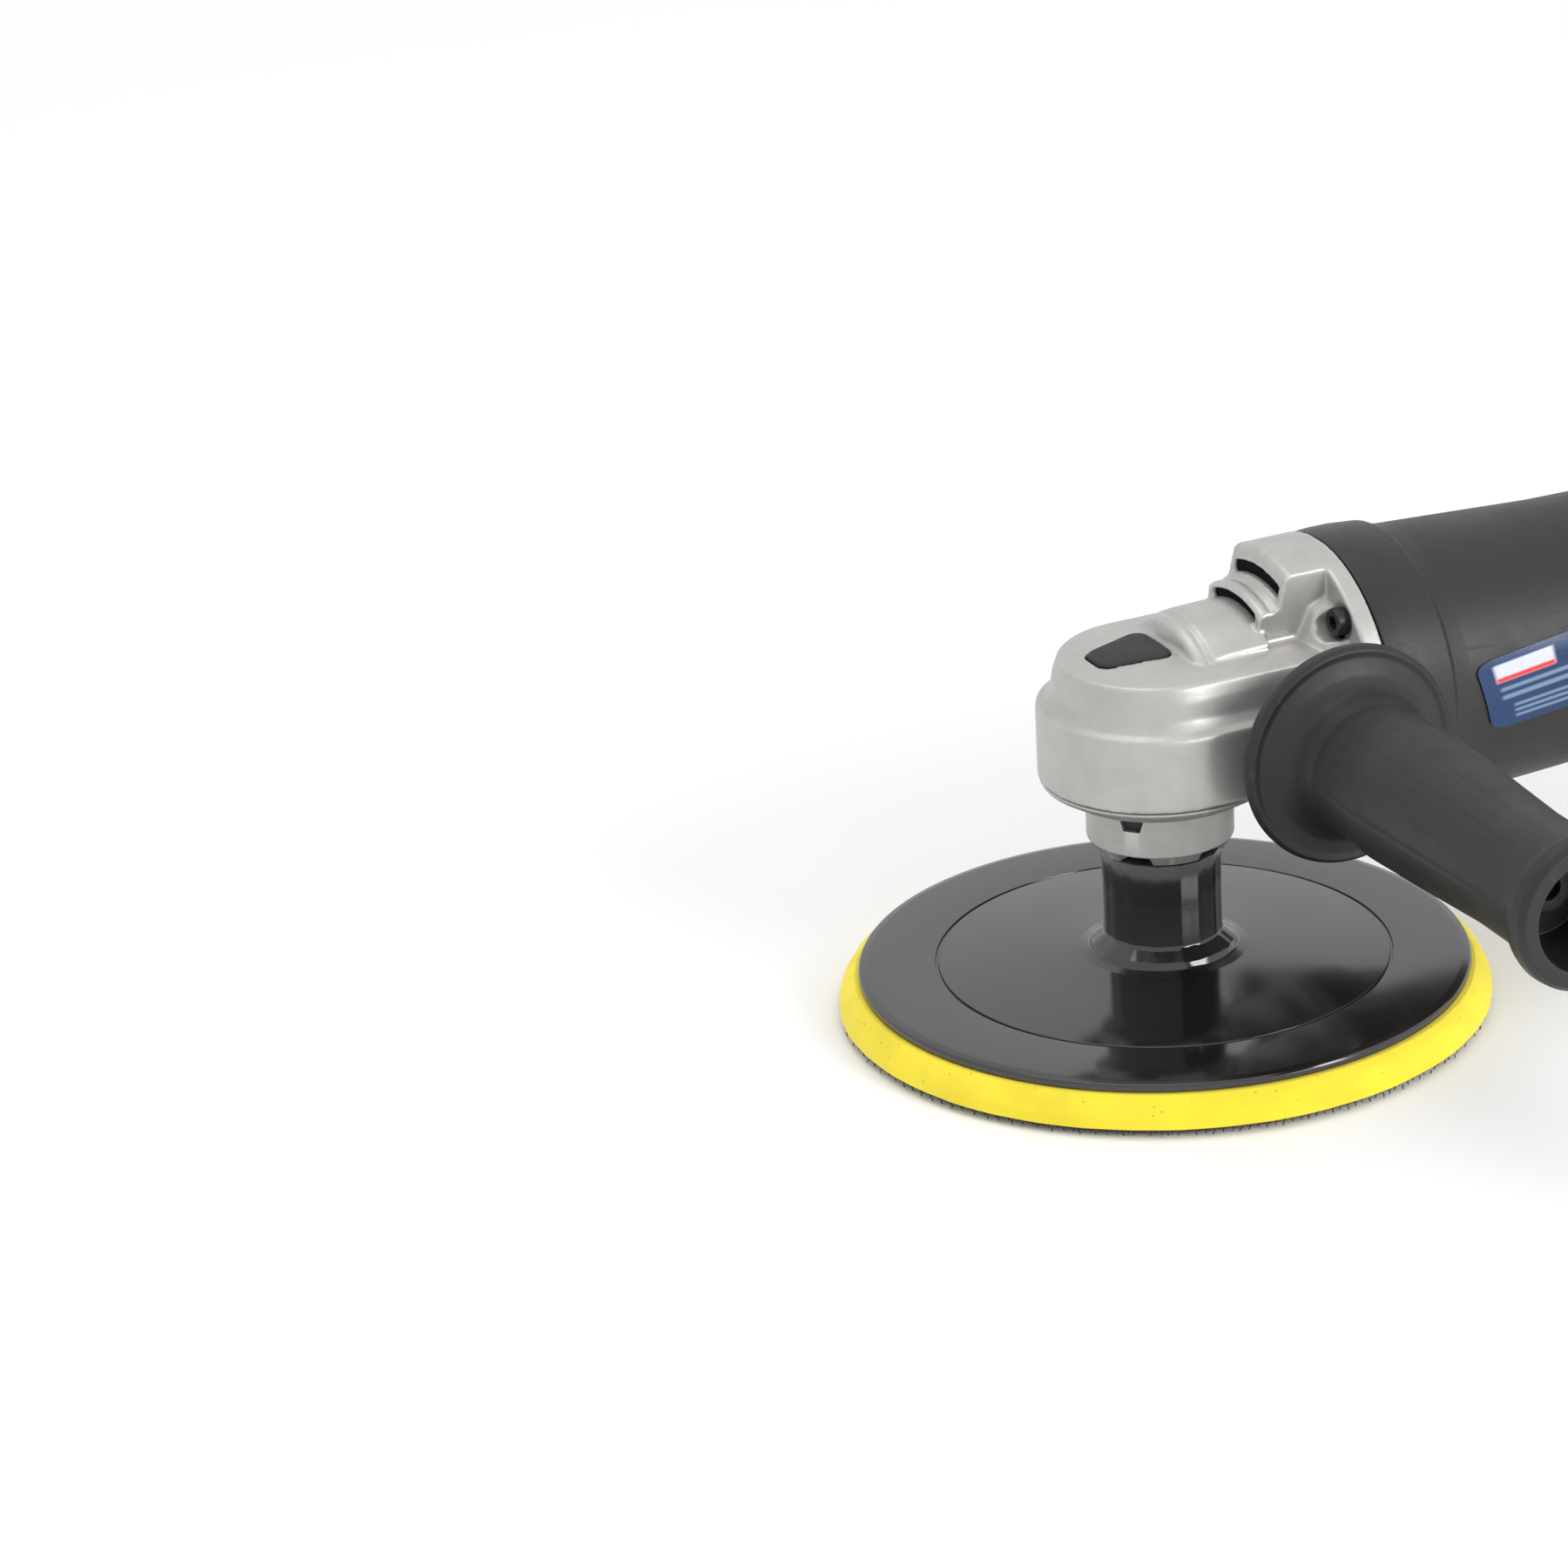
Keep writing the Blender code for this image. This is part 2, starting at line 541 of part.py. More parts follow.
def slotted(radius, root, slots):
    """Outline of a slotted armature core."""
    points = []
    for i in range(slots):
        middle = 2 * math.pi * i / slots
        for r, offset in ((root, -0.1), (radius, -0.1), (radius, 0.1), (root, 0.1)):
            a = middle + offset * 2 * math.pi / slots * 3.3
            points.append((r * math.cos(a), r * math.sin(a)))
    return points


def build_armature():
    shaft = [(0, 21.9), (2.9, 21.9), (2.9, 27.6), (5.9, 27.6), (5.9, 62.0), (5.0, 62.0), (5.0, 149.0),
             (3.9, 149.0), (3.9, 158.5), (0, 158.5)]
    turned("armature_shaft", shaft, STEEL, (0, 0, MOTOR_Z), 'X', 18)
    turned("armature_front_bearing", [(6.2, 34.0), (15.7, 34.0), (15.7, 43.8), (6.2, 43.8)], STEEL,
           (0, 0, MOTOR_Z), 'X', 20, True)
    turned("armature_rear_bearing", [(4.2, 150.0), (10.7, 150.0), (10.7, 157.0), (4.2, 157.0)], STEEL,
           (0, 0, MOTOR_Z), 'X', 24, True)
    core = prism("armature_core", slotted(17.9, 12.5, 12), STATOR_FRONT, STATOR_BACK, LAMINATION, 'X',
                 (0, 0, MOTOR_Z))
    cut(core, pegs("core_bore", [(5.3, (60, 0, 0), (130, 0, 0))], None, 24, (0, 0, MOTOR_Z)))
    for name, low, high in (("armature_winding_front", 66.5, STATOR_FRONT - GAP),
                            ("armature_winding_rear", STATOR_BACK + GAP, 123.5)):
        turned(name, [(5.6, low), (14.0, low), (15.6, low + 2.2), (15.6, high), (5.6, high)], COPPER,
               (0, 0, MOTOR_Z), 'X', 20, True)
    turned("commutator", [(5.3, 127.0), (12.0, 127.0), (12.0, 147.0), (5.3, 147.0)], COPPER,
           (0, 0, MOTOR_Z), 'X', 24, True)
    fan = turned("cooling_fan", [(6.2, 48.0), (10.0, 48.0), (30.4, 49.4), (30.4, 50.8), (10.0, 50.8),
                                 (10.0, 60.0), (6.2, 60.0)], BLACK, (0, 0, MOTOR_Z), 'X', 20, True)
    bm = bmesh.new()
    blades = 9
    for i in range(blades):
        blade = bmesh.ops.create_cube(bm, size=1.0)
        turn = Matrix.Rotation(2 * math.pi * i / blades, 4, 'X')
        size = Matrix.Diagonal((7.0, 14.0, 1.4, 1.0))
        lean = Matrix.Rotation(math.radians(20), 4, 'X')
        bmesh.ops.transform(bm, matrix=turn @ Matrix.Translation((53.6, 22.0, 0)) @ lean @ size,
                            verts=blade["verts"])
    join(fan, from_bmesh("fan_blades", bm, None, (0, 0, MOTOR_Z)))


def build_stator():
    turned("stator_core", [(18.6, STATOR_FRONT), (33.2, STATOR_FRONT), (33.2, STATOR_BACK),
                           (18.6, STATOR_BACK)], LAMINATION, (0, 0, MOTOR_Z), 'X', 24, True)
    for name, low, high in (("field_coil_front", 67.0, STATOR_FRONT - GAP),
                            ("field_coil_rear", STATOR_BACK + GAP, 123.0)):
        turned(name, [(19.5, low), (30.5, low), (30.5, high), (19.5, high)], COPPER,
               (0, 0, MOTOR_Z), 'X', 20, True)
    turned("fan_baffle", [(14.0, 62.8), (31.3, 62.8), (31.3, 65.0), (14.0, 65.0)], BLACK,
           (0, 0, MOTOR_Z), 'X', 20, True)
    for side, word in ((-1, "left"), (1, "right")):
        holder = boxes(f"brush_holder_{word}", [((-5.0, 14.5, -5.0), (5.0, 33.0, 5.0))], BRASS,
                       (BRUSH_X, 0, MOTOR_Z))
        window = boxes(f"brush_window_{word}", [((-3.3, 10.0, -3.3), (3.3, 40.0, 3.3))], None,
                       (BRUSH_X, 0, MOTOR_Z))
        brush = boxes(f"carbon_brush_{word}", [((-3.0, 12.4, -3.0), (3.0, 28.0, 3.0))], CARBON,
                      (BRUSH_X, 0, MOTOR_Z))
        for obj in (holder, window, brush):
            obj.rotation_euler = (0, 0, 0 if side > 0 else math.pi)
        cut(holder, window)
        cap = turned(f"brush_cap_{word}", [(0, 33.6), (8.0, 33.6), (8.0, 35.6), (7.2, 36.6), (0, 36.6)],
                     BLACK, (BRUSH_X, 0, MOTOR_Z), 'Y', 24)
        groove = boxes(f"cap_slot_{word}", [((-5.0, 35.4, -0.8), (5.0, 40.0, 0.8))], None,
                       (BRUSH_X, 0, MOTOR_Z))
        if side < 0:
            cap.rotation_euler = (math.pi / 2, 0.0, 0.0)
            groove.rotation_euler = (0, 0, math.pi)
        cut(cap, groove)


# ---- side handle ---------------------------------------------------------------------------
def build_side_handle():
    face = BOSS_FACE + GAP
    grip = [(4.3, face), (GUARD_RADIUS - 1.0, face), (GUARD_RADIUS, face + 1.4), (GUARD_RADIUS, face + 4.8),
            (25.0, face + 6.8), (19.4, face + 11.0), (18.0, face + 20.0), (19.3, face + 38.0),
            (18.5, face + 60.0), (17.0, face + 92.0), (17.3, face + 117.0), (20.6, face + 121.0),
            (20.9, face + 125.0), (19.2, GRIP_END), (14.8, GRIP_END), (14.8, GRIP_END - 26.0),
            (4.3, GRIP_END - 26.0)]
    handle = turned("side_handle_grip", grip, GRIPPY, (BOSS_X, 0, BOSS_Z), 'Y', 32, ring=True)
    handle.rotation_euler = (math.pi / 2, 0.0, 0.0)
    seat = GRIP_END - 25.6
    stud = [(0, 24.0), (3.2, 24.0), (STUD_RADIUS, 24.7), (STUD_RADIUS, seat), (6.8, seat),
            (6.8, seat + 4.6), (0, seat + 4.6)]
    bolt = turned("side_handle_stud", stud, STEEL, (BOSS_X, 0, BOSS_Z), 'Y', 20)
    bolt.rotation_euler = (math.pi / 2, 0.0, 0.0)


# ---- rear handle ---------------------------------------------------------------------------
HANDLE_STATIONS = ((BODY_REAR + GAP, 36.0, 36.0, 82.0), (174.0, 35.0, 35.9, 81.8),
                   (188.0, 31.0, 33.5, 81.0), (206.0, 27.0, 29.5, 79.5), (240.0, 24.9, 27.4, 77.8),
                   (290.0, 24.8, 27.9, 76.2),
                   (334.0, 26.0, 30.6, 74.8), (342.0, 23.6, 28.4, 74.6), (HANDLE_REAR, 18.0, 23.0, 74.6))


def handle_section(station, inset, half):
    """One half of a handle section, from its top edge round the side to its bottom edge."""
    x, wide, high, middle = station
    points = []
    steps = 12
    for i in range(steps + 1):
        a = math.pi * i / steps
        power = 0.88
        s, c = math.sin(a), math.cos(a)
        y = (wide - inset) * abs(s) ** power
        z = (high - inset) * math.copysign(abs(c) ** power, c)
        points.append((x, half * max(y, 0.0), middle + z))
    return points


def half_shell(name, half, inset, look, front, rear):
    """A closed half of the handle's form, flat at the split plane."""
    stations = [(front, *HANDLE_STATIONS[0][1:])] + list(HANDLE_STATIONS[1:-1])
    stations.append((rear, *HANDLE_STATIONS[-1][1:]))
    rings = []
    for station in stations:
        ring = handle_section(station, inset, half)
        rings.append([(x, y + half * GAP / 2, z) for x, y, z in ring])
    return loft(name, rings, look)


def build_handle_shells():
    screws = [(180.0, 98.0, 29.0), (217.0, 95.0, 21.8), (322.0, 60.0, 22.0)]
    for half, word in ((-1, "left"), (1, "right")):
        shell = half_shell(f"handle_shell_{word}", half, 0.0, BLACK, BODY_REAR + GAP, HANDLE_REAR)
        hollow = half_shell(f"handle_hollow_{word}", half, SHELL_THICK, None, BODY_REAR - 2.0,
                            HANDLE_REAR - SHELL_THICK)
        hollow.location.y = -half * 0.5 * MM
        posts = pegs(f"screw_posts_{word}", [(4.0, (x, half * 0.15, z), (x, half * reach, z))
                                             for x, z, reach in screws], None, 16)
        window = boxes(f"trigger_window_{word}", [((221.0, -8.6, 40.0), (287.0, 8.6, 62.0))], None)
        dial = boxes(f"dial_window_{word}", [((DIAL_X - 12.5, -4.4, 100.0), (DIAL_X + 12.5, 4.4, 120.0))],
                     None)
        gland = pegs(f"gland_hole_{word}", [(8.2, (330.0, 0, 74.6), (350.0, 0, 74.6))], None, 28)
        cut(shell, hollow)
        join(shell, posts)
        drill = 1.9 if half < 0 else 1.7
        reach = 40.0 if half < 0 else 16.0
        bores = [(drill, (x, half * -1.0, z), (x, half * reach, z)) for x, z, _ in screws]
        cut(shell, pegs(f"screw_bores_{word}", bores, None, 12), window, dial, gland)
        if half < 0:
            sinks = [(3.6, (x, -17.0, z), (x, -40.0, z)) for x, z, _ in screws]
            lock = pegs("lock_hole", [(5.6, (236.0, -18.0, 74.0), (236.0, -32.0, 74.0))], None, 24)
            cut(shell, pegs("screw_sinks", sinks, None, 16), lock)
    for i, (x, z, _) in enumerate(screws, 1):
        obj = screw(f"handle_screw_{i}", DARK_STEEL, (x, -17.3, z), 'Y', 1.4, 29.0, 3.2, 2.4)
        obj.rotation_euler = (-math.pi / 2, 0.0, 0.0)


def build_controls():
    px, pz = TRIGGER_PIVOT
    lever = [(-3.4, -3.0), (-1.5, -9.0), (5.0, -16.0), (14.0, -18.6), (30.0, -17.4), (46.0, -18.4),
             (55.0, -16.6), (58.6, -11.0), (58.6, -3.4), (44.0, 0.6), (3.0, 3.6), (-3.4, 3.0)]
    trigger = prism("trigger", lever, -7.8, 7.8, BLACK, 'Y', (px, 0, pz))
    cut(trigger, pegs("trigger_bore", [(1.7, (0, -12, 0), (0, 12, 0))], None, 24, (px, 0, pz)))
    pegs("trigger_pin", [(1.5, (0, -15.0, 0), (0, 15.0, 0))], STEEL, 24, (px, 0, pz))
    boxes("switch_body", [((243.0, -11.0, 67.5), (290.0, 11.0, 92.0))], BLACK)
    coil("trigger_spring", 3.2, 0.4, 61.6, 67.1, 3, STEEL, (272.0, 0, 0))
    button = turned("lock_on_button", [(0, 12.2), (5.2, 12.2), (5.2, 26.6), (4.2, 28.0), (0, 28.4)],
                    BLACK, (236.0, 0, 74.0), 'Y', 24)
    button.rotation_euler = (math.pi / 2, 0.0, 0.0)
    ribs = 14
    rim = []
    for i in range(ribs):
        for r, offset in ((DIAL_RADIUS, 0.0), (DIAL_RADIUS, 0.5), (DIAL_RADIUS - 0.7, 0.62),
                          (DIAL_RADIUS - 0.7, 0.88)):
            a = 2 * math.pi * (i + offset) / ribs
            rim.append((r * math.cos(a), r * math.sin(a)))
    dial = prism("speed_dial", rim, -3.6, 3.6, BLACK, 'Y', (DIAL_X, 0, 104.0))
    cut(dial, pegs("dial_bore", [(2.2, (0, -9, 0), (0, 9, 0))], None, 20, (DIAL_X, 0, 104.0)))
    turned("cord_gland", [(4.3, 330.0), (11.0, 330.0), (11.0, 341.6), (7.8, 341.6), (7.8, 349.0),
                          (6.6, 352.0), (4.3, 352.0)], RUBBER, (0, 0, 74.6), 'X', 20, True)


build_pad()
build_spindle()
build_crown_gear()
build_pinion()
build_gear_housing()
build_bearing_cover()
build_case_screws()
build_spindle_lock()
build_motor_housing()
build_labels()
build_armature()
build_stator()
build_side_handle()
build_handle_shells()
build_controls()
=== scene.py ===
# %% [markdown]
# # Dressing a rotary polisher
# The polisher arrives as a fixed frame: every working piece is already in place and moves on its own
# joint. This notebook gives each visible piece its finished surface: rounded edges, moulded and cast
# skins, screws, labels and the foam pad with its hook layer. All sizes are in millimetres and are
# turned into metres only where a mesh is made, because that is how a maker would read a drawing.

# %% Load the frame
import json
import math

import bmesh
import bpy
import numpy as np
from mathutils import Matrix, Vector


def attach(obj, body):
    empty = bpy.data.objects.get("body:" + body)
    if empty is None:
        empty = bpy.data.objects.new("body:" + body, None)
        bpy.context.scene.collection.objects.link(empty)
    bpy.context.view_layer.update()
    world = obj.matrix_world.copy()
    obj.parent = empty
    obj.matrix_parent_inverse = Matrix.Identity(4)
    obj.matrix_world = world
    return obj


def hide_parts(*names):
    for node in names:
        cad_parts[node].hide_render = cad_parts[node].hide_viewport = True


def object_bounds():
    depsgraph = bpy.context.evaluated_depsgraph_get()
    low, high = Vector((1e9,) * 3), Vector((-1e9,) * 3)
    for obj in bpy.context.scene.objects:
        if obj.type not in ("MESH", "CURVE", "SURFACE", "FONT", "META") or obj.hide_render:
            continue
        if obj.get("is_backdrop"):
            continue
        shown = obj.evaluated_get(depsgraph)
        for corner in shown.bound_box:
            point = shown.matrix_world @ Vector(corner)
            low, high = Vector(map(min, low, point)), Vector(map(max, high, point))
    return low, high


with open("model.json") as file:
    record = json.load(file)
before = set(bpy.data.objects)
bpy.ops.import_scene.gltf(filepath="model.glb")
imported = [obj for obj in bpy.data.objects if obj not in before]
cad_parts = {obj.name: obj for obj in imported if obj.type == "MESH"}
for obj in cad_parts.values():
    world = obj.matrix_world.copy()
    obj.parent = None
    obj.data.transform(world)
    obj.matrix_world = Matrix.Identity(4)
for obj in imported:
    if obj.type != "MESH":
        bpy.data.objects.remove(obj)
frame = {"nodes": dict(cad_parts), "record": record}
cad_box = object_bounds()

MM = 0.001
nodes = frame["nodes"]
print(len(nodes), "frame pieces, box", [round((b - a) / MM, 1) for a, b in zip(*cad_box)], "mm")

# %% [markdown]
# ## The camera and the light
# A long lens from two metres away keeps the round forms nearly free of perspective, as in a catalogue.
# The camera looks down on the pad at a shallow angle, leaning a few degrees, and the tool runs out of
# the right side of the frame. The view is built from three axes instead of by turning angles, because
# the lean and the off-centre aim are then plain vector sums.

# %% Camera
AZIMUTH = math.radians(-24.0)
ELEVATION = math.radians(22.6)
LEAN = math.radians(-2.91)
DISTANCE = 2.0
LENS = 170.72
SENSOR = 36.0
AIM = Vector((0.0, 0.0, 0.040))
AIM_IN_FRAME = (0.2406, 0.0500)  # where the aim point falls, right and down from the middle

back = Vector((math.sin(AZIMUTH) * math.cos(ELEVATION), -math.cos(AZIMUTH) * math.cos(ELEVATION),
               math.sin(ELEVATION)))
level_right = Vector((math.cos(AZIMUTH), math.sin(AZIMUTH), 0.0))
level_up = back.cross(level_right)
cam_right = math.cos(LEAN) * level_right + math.sin(LEAN) * level_up
cam_up = math.cos(LEAN) * level_up - math.sin(LEAN) * level_right
frame_width = DISTANCE * SENSOR / LENS
camera = bpy.data.objects.new("camera", bpy.data.cameras.new("camera"))
bpy.context.scene.collection.objects.link(camera)
camera.data.lens = LENS
camera.data.sensor_width = SENSOR
place = (AIM + back * DISTANCE - cam_right * AIM_IN_FRAME[0] * frame_width
         + cam_up * AIM_IN_FRAME[1] * frame_width)
turn = Matrix((cam_right, cam_up, back)).transposed()
camera.matrix_world = Matrix.Translation(place) @ turn.to_4x4()
camera.data.clip_start = 0.05
camera.data.clip_end = 50.0
bpy.context.scene.camera = camera
print("camera", [round(v, 3) for v in place])

# %% [markdown]
# The stage is a pale sweep under a bright, even sky, as in a light tent. One large lamp stands to the
# right of the camera and gives the casting its bright side, a second one hangs above. Both are wide,
# so that every shadow is soft.

# %% Stage and lamps
def shader_material(name):
    """A new material and its Principled shader."""
    made = bpy.data.materials.new(name)
    made.use_nodes = True
    return made, made.node_tree.nodes["Principled BSDF"]


floor_mesh = bmesh.new()
bmesh.ops.create_grid(floor_mesh, x_segments=2, y_segments=2, size=6.0)
floor = bpy.data.objects.new("floor", bpy.data.meshes.new("floor"))
floor_mesh.to_mesh(floor.data)
floor_mesh.free()
floor.location.z = -0.0004
bpy.context.scene.collection.objects.link(floor)
floor_look, floor_shader = shader_material("pale_floor")
floor_shader.inputs["Base Color"].default_value = (0.93, 0.93, 0.93, 1.0)
floor_shader.inputs["Roughness"].default_value = 0.9
floor_shader.inputs["Specular IOR Level"].default_value = 0.1
floor.data.materials.append(floor_look)
floor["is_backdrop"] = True

world = bpy.data.worlds.new("light_tent")
bpy.context.scene.world = world
world.use_nodes = True
world.node_tree.nodes["Background"].inputs["Color"].default_value = (1.0, 1.0, 1.0, 1.0)
world.node_tree.nodes["Background"].inputs["Strength"].default_value = 0.93
bpy.context.scene.view_settings.view_transform = 'Standard'


def area_lamp(name, at, width, power):
    """A square soft lamp that faces the head of the tool."""
    lamp = bpy.data.lights.new(name, 'AREA')
    lamp.size = width
    lamp.energy = power
    held = bpy.data.objects.new(name, lamp)
    held.location = at
    aim = Vector((0.05, 0.0, 0.06)) - Vector(at)
    held.rotation_euler = aim.to_track_quat('-Z', 'Y').to_euler()
    bpy.context.scene.collection.objects.link(held)


area_lamp("side_lamp", (0.75, -1.35, 0.75), 0.7, 14.0)
area_lamp("top_lamp", (-0.15, 0.25, 1.5), 0.8, 3.0)
print("stage ready")

# %% [markdown]
# ## Shared surface effects
# Most finishes here are built from the same few effects at different sizes: a fine grain, a broad
# mottle, small pits, and the marks of handling. Each is a node group with named inputs, made once and
# placed in every finish that wants it. A group only gives out masks and heights, and the finish
# decides what to do with them.

# %% Node helpers
def add(tree, kind, inputs=None, **settings):
    """A node with its settings, where each input is a value or another node's socket."""
    made = tree.nodes.new(kind)
    for key, value in settings.items():
        setattr(made, key, value)
    for key, value in (inputs or {}).items():
        if isinstance(value, bpy.types.NodeSocket):
            tree.links.new(value, made.inputs[key])
        else:
            made.inputs[key].default_value = value
    return made


def sums(tree, operation, first, second=0.0, third=0.0):
    """The result of one maths node."""
    return add(tree, 'ShaderNodeMath', {0: first, 1: second, 2: third}, operation=operation).outputs[0]


def rescale(tree, value, low, high, new_low=0.0, new_high=1.0):
    """value moved from one range to another and kept inside it."""
    return add(tree, 'ShaderNodeMapRange', {"Value": value, "From Min": low, "From Max": high,
                                            "To Min": new_low, "To Max": new_high}).outputs["Result"]


def new_group(name, inputs, outputs):
    """An empty node group with number sockets, and its input and output nodes."""
    group = bpy.data.node_groups.new(name, 'ShaderNodeTree')
    for label, value in inputs.items():
        group.interface.new_socket(label, in_out='INPUT', socket_type='NodeSocketFloat').default_value = value
    for label in outputs:
        group.interface.new_socket(label, in_out='OUTPUT', socket_type='NodeSocketFloat')
    return group, group.nodes.new('NodeGroupInput'), group.nodes.new('NodeGroupOutput')


def noise(tree, spot, size, detail=2.0, rough=0.5):
    """Noise whose lumps are size millimetres across; size is a socket or a number."""
    scale = sums(tree, 'DIVIDE', 1.0 / MM, size)
    return add(tree, 'ShaderNodeTexNoise', {"Vector": spot, "Scale": scale, "Detail": detail,
                                            "Roughness": rough}).outputs["Fac"]


# %% Grain and mottle
grain_group, come, go = new_group("grain_and_mottle", {"Grain Size": 0.4, "Mottle Size": 14.0},
                                  ("Height", "Mottle"))
spot = add(grain_group, 'ShaderNodeTexCoord').outputs["Object"]
fine = noise(grain_group, spot, come.outputs["Grain Size"], 3.0, 0.6)
coarse = noise(grain_group, spot, sums(grain_group, 'MULTIPLY', come.outputs["Grain Size"], 5.0), 2.0)
height = sums(grain_group, 'MULTIPLY_ADD', coarse, 0.5, sums(grain_group, 'MULTIPLY', fine, 0.5))
grain_group.links.new(height, go.inputs["Height"])
broad = noise(grain_group, spot, come.outputs["Mottle Size"], 3.0, 0.55)
grain_group.links.new(rescale(grain_group, broad, 0.32, 0.68), go.inputs["Mottle"])

# %% Pits
pit_group, come, go = new_group("pits", {"Pit Size": 0.8, "Amount": 0.3}, ("Pits",))
spot = add(pit_group, 'ShaderNodeTexCoord').outputs["Object"]
cells = add(pit_group, 'ShaderNodeTexVoronoi',
            {"Vector": spot, "Scale": sums(pit_group, 'DIVIDE', 1.0 / MM, come.outputs["Pit Size"])})
bowl = rescale(pit_group, cells.outputs["Distance"], 0.1, 0.45, 1.0, 0.0)
chosen = sums(pit_group, 'LESS_THAN', cells.outputs["Color"], come.outputs["Amount"])
pit_group.links.new(sums(pit_group, 'MULTIPLY', bowl, chosen), go.inputs["Pits"])

# %% Handling marks
wear_group, come, go = new_group("handling_marks", {"Scratch Size": 3.0, "Smudge Size": 22.0},
                                 ("Edges", "Scratches", "Smudges"))
spot = add(wear_group, 'ShaderNodeTexCoord').outputs["Object"]
sharp = add(wear_group, 'ShaderNodeNewGeometry').outputs["Pointiness"]
nibbled = noise(wear_group, spot, 2.5, 4.0, 0.6)
edges = rescale(wear_group, sums(wear_group, 'MULTIPLY_ADD', nibbled, 0.05, sharp), 0.535, 0.60)
wear_group.links.new(edges, go.inputs["Edges"])
scratches = None
for turned_by in (0.5, 1.9):
    lines = add(wear_group, 'ShaderNodeMapping', {"Vector": spot, "Rotation": (0.3, turned_by, turned_by),
                                                  "Scale": (1.0, 22.0, 22.0)}).outputs["Vector"]
    streak = noise(wear_group, lines, sums(wear_group, 'MULTIPLY', come.outputs["Scratch Size"], 6.0), 1.0)
    thin = rescale(wear_group, streak, 0.66, 0.72)
    scratches = thin if scratches is None else sums(wear_group, 'MAXIMUM', scratches, thin)
wear_group.links.new(scratches, go.inputs["Scratches"])
wiped = noise(wear_group, spot, come.outputs["Smudge Size"], 5.0, 0.65)
wear_group.links.new(rescale(wear_group, wiped, 0.42, 0.66), go.inputs["Smudges"])
print("node groups", [g.name for g in bpy.data.node_groups])

# %% [markdown]
# ## Finishes
# One recipe covers the cast, moulded, machined and painted surfaces. The colour drifts with the mottle,
# lightens or darkens on worn edges and is darkened in the pits as painted shade; the roughness drifts
# with smudges and fine scratches; the grain goes through a Bump node. Whatever is the same all over a
# surface, such as its coat or its gloss, is set straight on the shader.

# %% The finish recipe
def blend_colours(tree, factor, first, second):
    """Two colours mixed by a mask."""
    made = add(tree, 'ShaderNodeMix', {"Factor": factor}, data_type='RGBA')
    for socket, value in ((made.inputs[6], first), (made.inputs[7], second)):
        if isinstance(value, bpy.types.NodeSocket):
            tree.links.new(value, socket)
        else:
            socket.default_value = (*value, 1.0)
    return made.outputs[2]


def place_group(tree, group, **values):
    """One shared effect placed in a finish with its own values."""
    made = tree.nodes.new('ShaderNodeGroup')
    made.node_tree = group
    for label, value in values.items():
        made.inputs[label.replace("_", " ")].default_value = value
    return made.outputs


def finish(name, colour, roughness, metallic=0.0, grain=0.4, depth=0.02, drift=0.12, mottle=14.0,
           smudge=0.08, scratch=0.06, edge=None, edge_amount=0.5, pits=0.0, pit_size=0.8, shader=None):
    """A material from the shared effects; depth is the bump's depth in millimetres."""
    made, principled = shader_material(name)
    tree = made.node_tree
    skin = place_group(tree, grain_group, Grain_Size=grain, Mottle_Size=mottle)
    marks = place_group(tree, wear_group, Scratch_Size=3.0, Smudge_Size=mottle * 1.6)
    dark = tuple(c * (1.0 - drift) for c in colour)
    light = tuple(min(c * (1.0 + drift), 1.0) for c in colour)
    tint = blend_colours(tree, skin["Mottle"], dark, light)
    height = skin["Height"]
    if edge:
        amount = sums(tree, 'MULTIPLY', marks["Edges"], edge_amount)
        tint = blend_colours(tree, amount, tint, edge)
    if pits:
        holes = place_group(tree, pit_group, Pit_Size=pit_size, Amount=pits)["Pits"]
        # painted shade: each pit's colour is pulled towards a third of the surface colour, standing in for
        # the shade inside it
        tint = blend_colours(tree, sums(tree, 'MULTIPLY', holes, 0.45), tint, tuple(c * 0.35 for c in colour))
        height = sums(tree, 'MULTIPLY_ADD', holes, -1.6, height)
    tree.links.new(tint, principled.inputs["Base Color"])
    rough = sums(tree, 'MULTIPLY_ADD', marks["Smudges"], smudge, roughness)
    rough = sums(tree, 'MULTIPLY_ADD', marks["Scratches"], scratch, rough)
    tree.links.new(rough, principled.inputs["Roughness"])
    bump = add(tree, 'ShaderNodeBump', {"Height": height, "Distance": depth * MM, "Strength": 1.0})
    tree.links.new(bump.outputs["Normal"], principled.inputs["Normal"])
    principled.inputs["Metallic"].default_value = metallic
    for label, value in (shader or {}).items():
        principled.inputs[label].default_value = value
    return made


# %% The finishes
cast_aluminium = finish("cast_aluminium", (0.47, 0.46, 0.445), 0.38, 0.60, grain=0.55, depth=0.035,
                        drift=0.05, mottle=9.0, smudge=0.10, edge=(0.80, 0.80, 0.79), pits=0.05,
                        pit_size=1.1)
moulded_black = finish("moulded_black", (0.013, 0.013, 0.0118), 0.44, grain=0.35, depth=0.030, drift=0.10,
                       mottle=20.0, smudge=0.10, edge=(0.04, 0.04, 0.038), edge_amount=0.4)
grip_black = finish("grip_black", (0.010, 0.0105, 0.0105), 0.46, grain=0.6, depth=0.045, mottle=12.0,
                    smudge=0.10, edge=(0.032, 0.032, 0.032), edge_amount=0.4)
soft_black = finish("soft_black", (0.020, 0.021, 0.021), 0.66, grain=0.45, depth=0.05, mottle=10.0)
plate_black = finish("plate_black", (0.013, 0.0115, 0.0105), 0.10, grain=1.5, depth=0.004, drift=0.2,
                     mottle=30.0, smudge=0.06, scratch=0.05, shader={"Specular IOR Level": 0.9})
